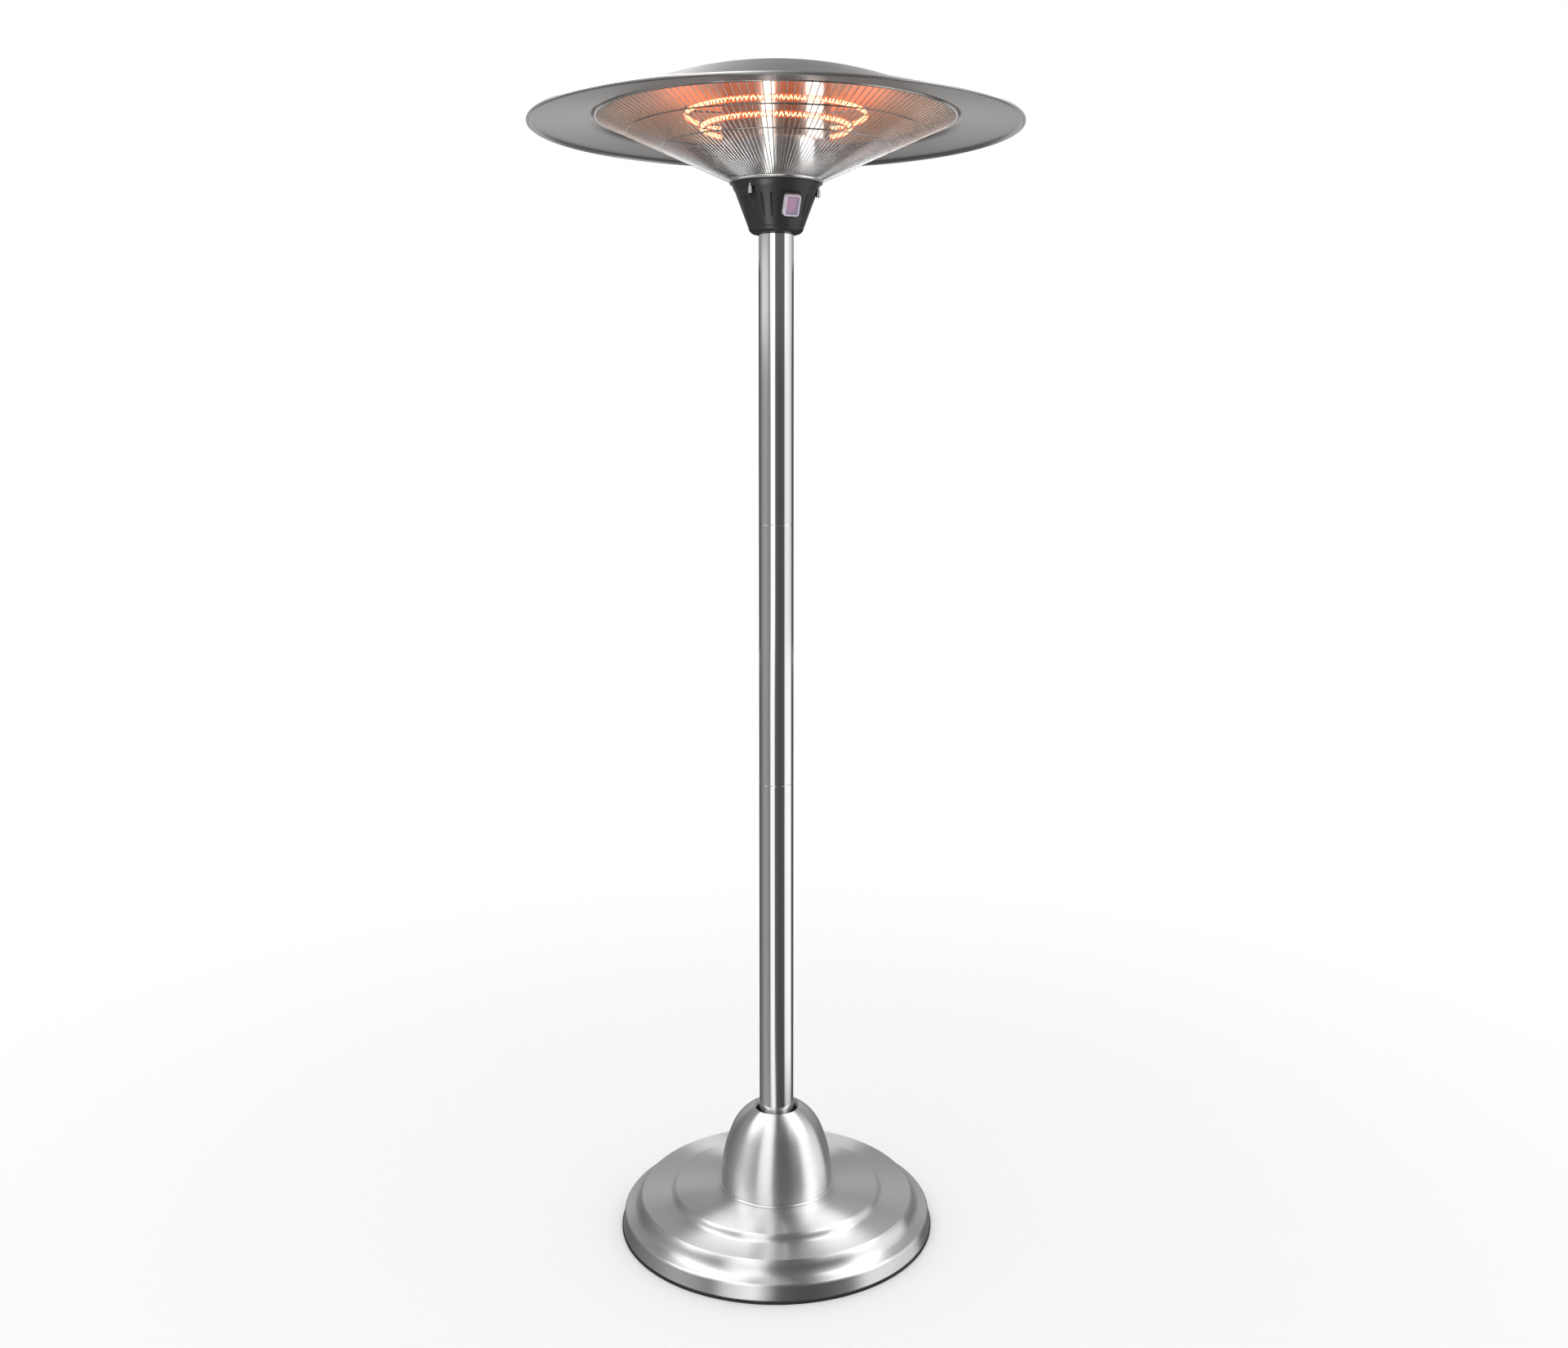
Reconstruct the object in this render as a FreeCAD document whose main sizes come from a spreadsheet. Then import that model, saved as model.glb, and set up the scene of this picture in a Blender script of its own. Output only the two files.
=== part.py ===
import FreeCAD, Part
import math
import os
import Sketcher
from types import SimpleNamespace

# Freestanding electric heater: a weighted round base, a pole in three lengths,
# a switch housing, and a lamp head under a wide shade. Millimetres, +Z up.
# The origin lies on the floor, on the pole's axis. The front faces -Y.

DRIVING_SIZES = {
    # floor contact and ballast
    "overrun": 5.0,
    "fit_gap": 0.2,
    "seat_gap": 0.3,
    "edge_thickness": 2.4,
    "edge_height": 5.0,
    "edge_wall": 1.3,
    "pad_thickness": 6.0,
    "pad_radius": 20.0,
    "pad_circle": 185.0,
    "pad_count": 6,
    "ballast_gap": 5.5,
    "ballast_height": 42.0,
    "hub_radius": 95.0,
    "cable_hole_radius": 12.0,
    # stepped base cover
    "cover_wall": 1.2,
    "lip_radius": 262.0,
    "lip_height": 29.3,
    "lip_draft": 3.3,
    "lip_round": 5.0,
    "ledge_width": 12.0,
    "ledge_rise": 3.2,
    "step_round": 9.0,
    "first_step_width": 13.0,
    "first_step_rise": 21.0,
    "first_tread_width": 47.0,
    "second_step_width": 11.0,
    "second_step_rise": 11.5,
    "top_tread_rise": 1.4,
    "flat_radius": 105.0,
    # pole foot
    "flange_radius": 78.0,
    "flange_thickness": 8.0,
    "stub_length": 80.0,
    "stub_wall": 3.0,
    "bolt_circle": 56.0,
    "bolt_count": 4,
    "bolt_diameter": 10.0,
    "bolt_length": 45.0,
    "bolt_head_height": 6.4,
    "bolt_head_flats": 16.0,
    "washer_radius": 10.0,
    "washer_thickness": 1.6,
    "pole_screw_height": 36.0,
    "pole_screw_diameter": 6.0,
    "pole_screw_length": 12.0,
    "pole_screw_head_radius": 5.0,
    "pole_screw_head_height": 3.0,
    "pole_screw_count": 3,
    # pole
    "pole_radius": 28.8,
    "pole_wall": 1.5,
    "lower_pole_length": 685.2,
    "middle_pole_length": 434.2,
    "upper_pole_length": 473.2,
    "coupler_length": 120.0,
    "coupler_wall": 2.0,
    # bell over the pole foot
    "bell_wall": 1.2,
    "bell_foot_radius": 96.9,
    "bell_bead": 2.1,
    "bell_bead_height": 4.0,
    "bell_waist_radius": 76.9,
    "bell_waist_height": 95.0,
    "bell_top_radius": 39.0,
    "bell_height": 136.1,
    "bell_flank_curve": 222.0,
    "bell_shoulder_curve": 78.0,
    # switch housing
    "housing_wall": 3.0,
    "housing_floor": 4.0,
    "housing_floor_radius": 34.5,
    "housing_round": 11.0,
    "housing_wall_start": 10.2,
    "housing_waist_radius": 45.3,
    "housing_wall_height": 60.0,
    "housing_shoulder_radius": 67.9,
    "housing_band_radius": 72.6,
    "housing_band_height": 10.3,
    "flute_count": 24,
    "flute_radius": 3.2,
    "flute_depth": 0.8,
    "flute_low": 25.0,
    "flute_high": 54.0,
    "scallop_radius": 8.5,
    "sleeve_circle": 68.6,
    "sleeve_radius": 3.7,
    "sleeve_length": 12.0,
    "sleeve_bore_radius": 1.8,
    "sleeve_bore_depth": 5.0,
    "sleeve_shank_radius": 2.0,
    "sleeve_count": 3,
    # head socket and electrics in the housing
    "socket_flange_radius": 39.0,
    "socket_flange_thickness": 3.0,
    "socket_length": 50.0,
    "socket_wall": 2.5,
    "terminal_width": 36.0,
    "terminal_depth": 18.0,
    "terminal_height": 22.0,
    "terminal_offset": 14.0,
    "tilt_switch_side": 11.0,
    "tilt_switch_height": 22.0,
    # switch, on a flat pad of the housing
    "switch_azimuth": 23.4,
    "switch_height": 41.4,
    "pad_width": 32.0,
    "pad_length": 41.0,
    "pad_rise": 1.6,
    "pad_depth": 6.5,
    "bezel_width": 24.6,
    "bezel_length": 32.6,
    "bezel_thickness": 1.8,
    "switch_width": 21.0,
    "switch_length": 29.4,
    "switch_depth": 22.0,
    "cavity_width": 18.6,
    "cavity_length": 27.8,
    "cavity_depth": 9.0,
    "rocker_width": 18.0,
    "rocker_length": 25.0,
    "rocker_thickness": 7.0,
    "rocker_keel": 13.0,
    "rocker_dip": 1.2,
    "rocker_crest": 3.0,
    "pivot_depth": 2.0,
    "pivot_diameter": 2.0,
    "rock_angle": 22.0,
    "seal_wall": 0.8,
    "seal_height": 9.4,
    # support plate, column and drum
    "plate_radius": 76.0,
    "plate_thickness": 2.0,
    "plate_hole_radius": 15.0,
    "column_radius": 71.0,
    "column_wall": 1.2,
    "column_height": 63.0,
    "column_flange_width": 20.0,
    "drum_radius": 87.7,
    "drum_wall": 1.2,
    "drum_height": 98.0,
    "drum_hole_radius": 58.0,
    "lid_thickness": 2.0,
    "tie_rod_circle": 44.0,
    "tie_rod_radius": 3.0,
    "tie_rod_count": 3,
    # lamps
    "lamp_tube_radius": 5.0,
    "lamp_tube_wall": 1.1,
    "filament_radius": 1.6,
    "upper_lamp_radius": 145.7,
    "lower_lamp_radius": 120.1,
    "lamp_gap_angle": 34.0,
    "lamp_seal_length": 8.0,
    "holder_width": 22.0,
    "holder_height": 16.0,
    "holder_overhang": 9.0,
    "clip_azimuth": 75.0,
    "clip_wire_radius": 1.2,
    # guard
    "guard_ring_radius": 74.4,
    "guard_ring_wire": 2.0,
    "guard_rim_inset": 9.6,
    "guard_rim_lift": 2.4,
    "guard_rim_wire": 2.2,
    "guard_wire": 0.9,
    "guard_wire_count": 150,
    "guard_hoop_wire": 1.2,
    # reflector and shade
    "reflector_wall": 0.8,
    "reflector_flat_margin": 7.3,
    "reflector_inset": 26.2,
    "spacer_radius": 6.0,
    "spacer_bore_radius": 2.6,
    "crown_clearance": 17.6,
    "shade_screw_circle": 57.0,
    "shade_screw_azimuth": -37.0,
    "shade_screw_count": 3,
    "shade_screw_radius": 2.4,
    "shade_screw_head_radius": 6.0,
    "shade_screw_head_height": 3.2,
    "shade_wall": 1.2,
    "crown_radius": 301.2,
    "crown_curve": 616.0,
    "shoulder_width": 11.2,
    "shoulder_drop": 10.6,
    "shoulder_curve": 30.0,
    "brim_drop": 7.6,
    "rim_radius": 400.3,
    "rim_roll": 3.0,
}
INNER_HOOP_SHARE = 0.518
OUTER_HOOP_SHARE = 0.768
UPPER_LAMP_SHARE = 0.454
LOWER_LAMP_SHARE = 0.248
FULL_TURN = 360.0
HALF_TURN = 180.0
QUARTER_TURN = 90.0
UP = FreeCAD.Vector(0, 0, 1)
AXIS_X = FreeCAD.Vector(1, 0, 0)

doc = FreeCAD.newDocument("Heater")
sheet = doc.addObject("Spreadsheet::Sheet", "Sizes")
for row, (alias, number) in enumerate(DRIVING_SIZES.items(), start=1):
    sheet.set(f"A{row}", alias)
    sheet.set(f"B{row}", str(number))
    sheet.setAlias(f"B{row}", alias)
doc.recompute()


class Size:
    """A dimension: its present value, and the sheet expression that it follows."""

    def __init__(self, value, text):
        self.value = value
        self.text = text

    def joined(self, sign, other, value):
        text = other.text if isinstance(other, Size) else repr(other)
        return Size(value, f"({self.text} {sign} {text})")

    def __add__(self, other):
        return self.joined("+", other, self.value + float(other))

    def __sub__(self, other):
        return self.joined("-", other, self.value - float(other))

    def __mul__(self, other):
        return self.joined("*", other, self.value * float(other))

    def __truediv__(self, other):
        return self.joined("/", other, self.value / float(other))

    def __float__(self):
        return float(self.value)


s = SimpleNamespace(**{alias: Size(float(sheet.get(alias)), f"Sizes.{alias}") for alias in DRIVING_SIZES})
nodes = []


# Helpers that draw a half section, turn it, and make simple solids

def centre_of(start, end, radius):
    """The centre of the short arc from start to end; a positive radius turns left, a negative one right."""
    chord = end - start
    left = FreeCAD.Vector(-chord.y, chord.x, 0).normalize()
    reach = math.sqrt(max(radius * radius - chord.Length ** 2 / 4, 0))
    return (start + end) / 2 + left * math.copysign(reach, radius)


def draw(sketch, outline):
    """Draws a closed outline of (x, y) corners. A third entry is the radius of the arc that leaves it."""
    corners = [FreeCAD.Vector(float(corner[0]), float(corner[1]), 0) for corner in outline]
    ends = []
    for index, corner in enumerate(outline):
        start = corners[index]
        end = corners[(index + 1) % len(corners)]
        if len(corner) == 2:
            edge = sketch.addGeometry(Part.LineSegment(start, end), False)
            ends.append((edge, 1, 2))
            continue
        turn = corner[2]
        centre = centre_of(start, end, float(turn))
        first, last = (start, end) if float(turn) > 0 else (end, start)
        angles = [math.atan2(point.y - centre.y, point.x - centre.x) for point in (first, last)]
        circle = Part.Circle(centre, FreeCAD.Vector(0, 0, 1), abs(float(turn)))
        edge = sketch.addGeometry(Part.ArcOfCircle(circle, angles[0], angles[1]), False)
        ends.append((edge, 1, 2) if float(turn) > 0 else (edge, 2, 1))
    for index, (edge, start_end, last_end) in enumerate(ends):
        following = ends[(index + 1) % len(ends)]
        sketch.addConstraint(Sketcher.Constraint("Coincident", edge, last_end, following[0], following[1]))
        for kind, axis, place in (("DistanceX", -2, outline[index][0]), ("DistanceY", -1, outline[index][1])):
            if not isinstance(place, Size):
                sketch.addConstraint(Sketcher.Constraint("PointOnObject", edge, start_end, axis))
                continue
            rule = sketch.addConstraint(Sketcher.Constraint(kind, -1, 1, edge, start_end, float(place)))
            sketch.setExpression(f"Constraints[{rule}]", place.text)
        if len(outline[index]) == 3:
            turn = outline[index][2]
            bend = turn if float(turn) > 0 else turn * -1
            rule = sketch.addConstraint(Sketcher.Constraint("Radius", edge, float(bend)))
            sketch.setExpression(f"Constraints[{rule}]", bend.text)


def section(body, role, outline):
    """A sketch of the outline on one of the body's own origin planes."""
    sketch = body.newObject("Sketcher::SketchObject", f"{body.Name}_section")
    plane = next(feature for feature in body.Origin.OriginFeatures if feature.Role == role)
    sketch.AttachmentSupport = [(plane, "")]
    sketch.MapMode = "FlatFace"
    draw(sketch, outline)
    return sketch


def lathe(label, outline):
    """A turned piece: the outline, right of the axis, goes round the Z axis once."""
    body = doc.addObject("PartDesign::Body", label)
    sketch = section(body, "XZ_Plane", outline)
    turn = body.newObject("PartDesign::Revolution", f"{label}_turn")
    turn.Profile = sketch
    turn.ReferenceAxis = (sketch, ["V_Axis"])
    turn.Angle = FULL_TURN
    return body


def tube(label, bore, radius, low, high):
    """A turned ring or tube with square ends."""
    return lathe(label, [(bore, low), (radius, low), (radius, high), (bore, high)])


def bind(item, **sizes):
    """Ties an object's properties to the sheet."""
    for name, size in sizes.items():
        item.setExpression(name, size.text)
    return item


def block(label, width, length, height, place):
    """A box centred on its own X and Y, standing on the XY plane of its place."""
    box = doc.addObject("Part::Box", label)
    bind(box, Length=width, Width=length, Height=height)
    corner = FreeCAD.Vector(-float(width) / 2, -float(length) / 2, 0)
    box.Placement = place * FreeCAD.Placement(corner, FreeCAD.Rotation())
    return box


def torus(label, radius, wire, height):
    """A closed ring of round wire."""
    ring = doc.addObject("Part::Torus", label)
    bind(ring, Radius1=radius, Radius2=wire)
    ring.Placement.Base = FreeCAD.Vector(0, 0, float(height))
    return ring


def group(label, shapes):
    """Separate like solids that share a node."""
    feature = doc.addObject("Part::Feature", label)
    feature.Shape = Part.makeCompound(shapes)
    return feature


def cut(label, base, tool):
    """The base with the tool's room taken away."""
    result = doc.addObject("Part::Cut", label)
    result.Base = base
    result.Tool = tool
    return result


def fuse(label, *pieces):
    """Pieces made as one."""
    result = doc.addObject("Part::MultiFuse", label)
    result.Shapes = list(pieces)
    return result


def rod(radius, low, high):
    """A plain upright cylinder on the Z axis."""
    return Part.makeCylinder(float(radius), float(high) - float(low), FreeCAD.Vector(0, 0, float(low)))


def turned_about(degrees):
    """A turn about the Z axis. At zero a piece faces the front, -Y."""
    return FreeCAD.Placement(FreeCAD.Vector(), FreeCAD.Rotation(UP, degrees))


def at_front(radius, height=0.0, lean=0.0):
    """A place on the front, leaning about the X axis."""
    return FreeCAD.Placement(FreeCAD.Vector(0, -float(radius), float(height)), FreeCAD.Rotation(AXIS_X, lean))


def ringed(shape, radius, count, first=0.0):
    """Copies of a shape, moved out to the front by the radius, evenly round the axis."""
    step = FULL_TURN / round(float(count))
    places = [turned_about(float(first) + step * index) for index in range(round(float(count)))]
    return [shape.transformed((place * at_front(radius)).toMatrix(), True) for place in places]


def keep(*pieces):
    """Names the pieces that are handed on."""
    nodes.extend(pieces)


# Base: rubber edge, foot pads, ballast and stepped cover

lip_inner = s.lip_radius - s.cover_wall
edge_outer = s.lip_radius + s.edge_wall
slot_outer = s.lip_radius + s.fit_gap / 2
lip_wall_height = s.lip_height - s.lip_round - s.edge_thickness
lip_lean = s.lip_draft * (s.edge_height - s.edge_thickness) / lip_wall_height
slot_inner = lip_inner - lip_lean - s.fit_gap / 2
edge_inner = slot_inner - s.edge_wall
keep(lathe("rubber_edge", [
    (edge_inner, 0), (edge_outer, 0), (edge_outer, s.edge_height), (slot_outer, s.edge_height),
    (slot_outer, s.edge_thickness), (slot_inner, s.edge_thickness), (slot_inner, s.edge_height),
    (edge_inner, s.edge_height)]))

pad = rod(s.pad_radius, 0, s.pad_thickness)
keep(group("foot_pads", ringed(pad, s.pad_circle, s.pad_count)))

ballast_top = s.pad_thickness + s.ballast_height
ledge_radius = s.lip_radius - s.lip_draft
first_toe = ledge_radius - s.ledge_width - s.lip_round
first_toe_height = s.lip_height + s.ledge_rise
first_top = first_toe - s.first_step_width
first_top_height = first_toe_height + s.first_step_rise
second_toe = first_top - s.first_tread_width
second_top = second_toe - s.second_step_width
second_top_height = first_top_height + s.second_step_rise
deck = second_top_height + s.top_tread_rise
deck_under = deck - s.cover_wall

ballast_radius = first_top - s.cover_wall - s.ballast_gap
ballast = lathe("ballast_disc_casting", [
    (s.cable_hole_radius, s.pad_thickness), (ballast_radius, s.pad_thickness), (ballast_radius, ballast_top),
    (s.hub_radius, ballast_top), (s.hub_radius, deck_under), (s.cable_hole_radius, deck_under)])
bolt_low = deck + s.flange_thickness + s.washer_thickness - s.bolt_length
bolt_hole = rod(s.bolt_diameter / 2 + s.fit_gap, bolt_low - s.seat_gap, deck + s.flange_thickness + s.overrun)
bolt_holes = group("bolt_holes", ringed(bolt_hole, s.bolt_circle, s.bolt_count, QUARTER_TURN / 2))
keep(cut("ballast_disc", ballast, bolt_holes))


def cover_line(shift):
    """The cover's outer line from its lip to its deck, moved in and down by the shift."""
    round_start = s.lip_height - s.lip_round

    def at(radius, height, *bend):
        return (radius - shift, height - shift, *bend)

    return [
        at(ledge_radius, round_start, s.lip_round),
        at(ledge_radius - s.lip_round, s.lip_height),
        at(first_toe, first_toe_height, s.step_round * -2),
        at(first_toe - s.first_step_width / 2, first_toe_height + s.first_step_rise / 2, s.step_round * 2),
        at(first_top, first_top_height),
        at(second_toe, first_top_height, s.step_round * -1),
        at(second_toe - s.second_step_width / 2, first_top_height + s.second_step_rise / 2, s.step_round),
        at(second_top, second_top_height),
        at(s.flat_radius, deck),
    ]


outer_line = [(s.lip_radius, s.edge_thickness)] + cover_line(0)
inner_line = [(lip_inner, s.edge_thickness)] + cover_line(s.cover_wall)


def backwards(line):
    """The same line from its far end: each arc now leaves its other end and turns the other way."""
    corners = [corner[:2] for corner in reversed(line)]
    bends = [corner[2:] for corner in reversed(line[:-1])] + [()]
    return [(*corner, *[bend * -1 for bend in bends_here]) for corner, bends_here in zip(corners, bends)]


cover = lathe("base_cover_sheet", outer_line + [(s.cable_hole_radius, deck), (s.cable_hole_radius, deck_under)]
              + backwards(inner_line))
keep(cut("base_cover", cover, bolt_holes))

# Pole foot: flange with its stub, bolts, washers and the screws that hold the pole

pole_bore = s.pole_radius - s.pole_wall
plug_radius = pole_bore - s.fit_gap
flange_top = deck + s.flange_thickness
stub_bore = plug_radius - s.stub_wall
flange = lathe("pole_flange_blank", [
    (stub_bore, deck), (s.flange_radius, deck), (s.flange_radius, flange_top), (plug_radius, flange_top),
    (plug_radius, flange_top + s.stub_length), (stub_bore, flange_top + s.stub_length)])
screw_height = flange_top + s.pole_screw_height
screw_tip = s.pole_radius - s.pole_screw_length
screw_step = FULL_TURN / float(s.pole_screw_count)
screw_places = [turned_about(screw_step * index) * at_front(0, screw_height, QUARTER_TURN)
                for index in range(round(float(s.pole_screw_count)))]
drill = rod(s.pole_screw_diameter / 2 + s.fit_gap, screw_tip - s.overrun, s.pole_radius + s.overrun)
pole_drills = group("pole_drills", [drill.transformed(place.toMatrix(), True) for place in screw_places])
flange_cuts = group("flange_cuts", [pole_drills.Shape, bolt_holes.Shape])
keep(cut("pole_flange", flange, flange_cuts))

washer_top = flange_top + s.washer_thickness
washer = rod(s.washer_radius, flange_top, washer_top).cut(
    rod(s.bolt_diameter / 2 + s.fit_gap, flange_top - s.overrun, washer_top + s.overrun))
keep(group("flange_washers", ringed(washer, s.bolt_circle, s.bolt_count, QUARTER_TURN / 2)))


def hexagon(flats, low, height):
    """An upright hexagonal prism on the Z axis, by its width over the flats."""
    corner = float(flats) / math.sqrt(3)
    angles = [math.radians(60 * index) for index in range(7)]
    points = [FreeCAD.Vector(corner * math.cos(a), corner * math.sin(a), float(low)) for a in angles]
    return Part.Face(Part.makePolygon(points)).extrude(FreeCAD.Vector(0, 0, float(height)))


bolt = rod(s.bolt_diameter / 2, bolt_low, washer_top).fuse(
    hexagon(s.bolt_head_flats, washer_top, s.bolt_head_height)).removeSplitter()
keep(group("flange_bolts", ringed(bolt, s.bolt_circle, s.bolt_count, QUARTER_TURN / 2)))

pole_screw = rod(s.pole_screw_diameter / 2, screw_tip, s.pole_radius + s.seat_gap).fuse(
    rod(s.pole_screw_head_radius, s.pole_radius + s.seat_gap,
        s.pole_radius + s.seat_gap + s.pole_screw_head_height)).removeSplitter()
keep(group("pole_screws", [pole_screw.transformed(place.toMatrix(), True) for place in screw_places]))

# Pole: three tubes and the sleeves that join them

first_joint = flange_top + s.lower_pole_length
second_joint = first_joint + s.middle_pole_length
pole_top = second_joint + s.upper_pole_length
lower_tube = tube("lower_pole_tube", pole_bore, s.pole_radius, flange_top, first_joint)
keep(cut("lower_pole", lower_tube, pole_drills))
keep(tube("middle_pole", pole_bore, s.pole_radius, first_joint, second_joint))
keep(tube("upper_pole", pole_bore, s.pole_radius, second_joint, pole_top))
for label, joint in (("lower_coupler", first_joint), ("upper_coupler", second_joint)):
    keep(tube(label, plug_radius - s.coupler_wall, plug_radius,
              joint - s.coupler_length / 2, joint + s.coupler_length / 2))

# Bell: a loose cover that hides the pole's foot and lifts up the pole

bell_bore = s.bell_foot_radius - s.bell_bead
bead_top = deck + s.bell_bead_height
waist = deck + s.bell_waist_height
bell_top = deck + s.bell_height
keep(lathe("bell_cover", [
    (bell_bore - s.bell_wall, deck), (s.bell_foot_radius, deck), (s.bell_foot_radius, bead_top),
    (bell_bore, bead_top, s.bell_flank_curve), (s.bell_waist_radius, waist, s.bell_shoulder_curve),
    (s.bell_top_radius, bell_top), (s.bell_top_radius - s.bell_wall, bell_top - s.bell_wall,
                                    s.bell_shoulder_curve * -1),
    (s.bell_waist_radius - s.bell_wall, waist - s.bell_wall, s.bell_flank_curve * -1),
    (bell_bore - s.bell_wall, bead_top - s.bell_wall)]))

# Switch housing: a moulded cup with flutes, a switch pad and three scallops for its screws

housing_low = pole_top
wall_low = housing_low + s.housing_wall_start
wall_high = housing_low + s.housing_wall_start + s.housing_wall_height
housing_top = wall_high + s.housing_band_height
floor_top = housing_low + s.housing_floor
bore_radius = plug_radius + s.fit_gap
hollow_foot = s.housing_waist_radius - s.housing_wall
hollow_top = s.housing_shoulder_radius - s.housing_wall
housing_cup = lathe("switch_housing_cup", [
    (bore_radius, housing_low), (s.housing_floor_radius, housing_low, s.housing_round),
    (s.housing_waist_radius, wall_low), (s.housing_shoulder_radius, wall_high),
    (s.housing_band_radius, wall_high), (s.housing_band_radius, housing_top), (hollow_top, housing_top),
    (hollow_top, wall_high), (hollow_foot, wall_low), (hollow_foot, floor_top), (bore_radius, floor_top)])

wall_run = s.housing_shoulder_radius - s.housing_waist_radius
wall_lean = math.degrees(math.atan2(float(wall_run), float(s.housing_wall_height)))


def wall_radius(height):
    """The housing wall's outer radius at a height above its lower end."""
    return float(s.housing_waist_radius) + float(wall_run) / float(s.housing_wall_height) * float(height)


switch_level = housing_low + s.switch_height
switch_reach = wall_radius(s.switch_height - s.housing_wall_start)
pad_lean = QUARTER_TURN + wall_lean
on_pad = turned_about(float(s.switch_azimuth)) * at_front(switch_reach, switch_level, pad_lean)
on_pad = on_pad * FreeCAD.Placement(FreeCAD.Vector(0, 0, float(s.pad_rise)), FreeCAD.Rotation())


def under_pad(depth):
    """A place below the pad's face."""
    return on_pad * FreeCAD.Placement(FreeCAD.Vector(0, 0, -float(depth)), FreeCAD.Rotation())


switch_pad = block("switch_pad", s.pad_width, s.pad_length, s.pad_depth, under_pad(s.pad_depth))
switch_hole = block("switch_hole", s.switch_width + s.fit_gap, s.switch_length + s.fit_gap,
                    s.switch_depth + s.overrun, under_pad(s.switch_depth))

flute_length = s.flute_high - s.flute_low
flute_reach = wall_radius(s.flute_low - s.housing_wall_start)
flute_rod = Part.makeCylinder(float(s.flute_radius), float(flute_length) / math.cos(math.radians(wall_lean)))
flute_rod.translate(FreeCAD.Vector(0, -(float(s.flute_radius) - float(s.flute_depth)), 0))
flute_place = at_front(flute_reach, housing_low + s.flute_low, wall_lean)
flute_step = FULL_TURN / float(s.flute_count)
sleeve_step = FULL_TURN / float(s.sleeve_count)
sleeve_angles = [float(s.switch_azimuth) + sleeve_step * (index + 0.5)
                 for index in range(round(float(s.sleeve_count)))]
taken_angles = sleeve_angles + [float(s.switch_azimuth)]


def is_free(angle):
    """True where a flute meets neither the switch pad nor a scallop."""
    return all(abs((angle - taken + HALF_TURN) % FULL_TURN - HALF_TURN) > flute_step
               for taken in taken_angles)


flute_angles = [float(s.switch_azimuth) + flute_step * index for index in range(round(float(s.flute_count)))]
flutes = [flute_rod.transformed((turned_about(angle) * flute_place).toMatrix(), True)
          for angle in flute_angles if is_free(angle)]
scallop = rod(s.scallop_radius, housing_low, wall_high)
scallops = ringed(scallop, s.sleeve_circle, s.sleeve_count, sleeve_angles[0])
shank_hole = rod(s.sleeve_shank_radius + s.fit_gap, wall_high - s.overrun, housing_top + s.overrun)
shank_holes = ringed(shank_hole, s.sleeve_circle, s.sleeve_count, sleeve_angles[0])
housing_cutters = group("housing_cutters", flutes + scallops + shank_holes)
cup_hollow = lathe("cup_hollow", [
    (0, floor_top), (hollow_foot, floor_top), (hollow_foot, wall_low), (hollow_top, wall_high),
    (hollow_top, housing_top), (0, housing_top)])
pad_shell = cut("pad_shell", switch_pad, cup_hollow)
padded_cup = fuse("padded_cup", housing_cup, pad_shell)
keep(cut("switch_housing", cut("open_cup", padded_cup, housing_cutters), switch_hole))

plate_low = housing_top
plate_top = plate_low + s.plate_thickness
sleeve = rod(s.sleeve_radius, wall_high - s.sleeve_length, wall_high).cut(
    rod(s.sleeve_bore_radius, wall_high - s.sleeve_length, wall_high - s.sleeve_length + s.sleeve_bore_depth))
sleeve = sleeve.fuse(rod(s.sleeve_shank_radius, wall_high, plate_top)).removeSplitter()
keep(group("housing_screws", ringed(sleeve, s.sleeve_circle, s.sleeve_count, sleeve_angles[0])))

# Head socket, terminal block and tilt switch

socket_top = floor_top + s.socket_flange_thickness
socket_bore = plug_radius - s.socket_wall
keep(lathe("head_socket", [
    (socket_bore, pole_top - s.socket_length), (plug_radius, pole_top - s.socket_length),
    (plug_radius, floor_top), (s.socket_flange_radius, floor_top),
    (s.socket_flange_radius, socket_top), (socket_bore, socket_top)]))
terminal_place = turned_about(HALF_TURN) * at_front(s.terminal_offset + s.terminal_depth / 2,
                                              plate_low - s.terminal_height)
keep(block("terminal_block", s.terminal_width, s.terminal_depth, s.terminal_height, terminal_place))
tilt_place = turned_about(-QUARTER_TURN) * at_front((socket_bore + s.socket_flange_radius) / 2, socket_top)
keep(block("tilt_switch", s.tilt_switch_side, s.tilt_switch_side, s.tilt_switch_height, tilt_place))

# Rocker switch: frame with its cavity, pin, rocker and clear seal

switch_frame = fuse("switch_frame_solid",
                    block("switch_barrel", s.switch_width, s.switch_length, s.switch_depth,
                          under_pad(s.switch_depth)),
                    block("switch_bezel", s.bezel_width, s.bezel_length, s.bezel_thickness, on_pad))
switch_cavity = block("switch_cavity", s.cavity_width, s.cavity_length, s.cavity_depth + s.overrun,
                      under_pad(s.cavity_depth))


def pin_rod(label, radius, length):
    """A rod along the rocker's pivot line."""
    bar = doc.addObject("Part::Cylinder", label)
    bind(bar, Radius=radius, Height=length)
    turn = FreeCAD.Rotation(FreeCAD.Vector(0, 1, 0), QUARTER_TURN)
    start = FreeCAD.Vector(-float(length) / 2, 0, 0)
    bar.Placement = under_pad(s.pivot_depth) * FreeCAD.Placement(start, turn)
    return bar


pin_hole = pin_rod("pin_hole", s.pivot_diameter / 2 + s.fit_gap / 2, s.switch_width + s.overrun)
keep(cut("switch_frame", cut("switch_frame_open", switch_frame, switch_cavity), pin_hole))
keep(pin_rod("rocker_pin", s.pivot_diameter / 2, s.switch_width))

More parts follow.
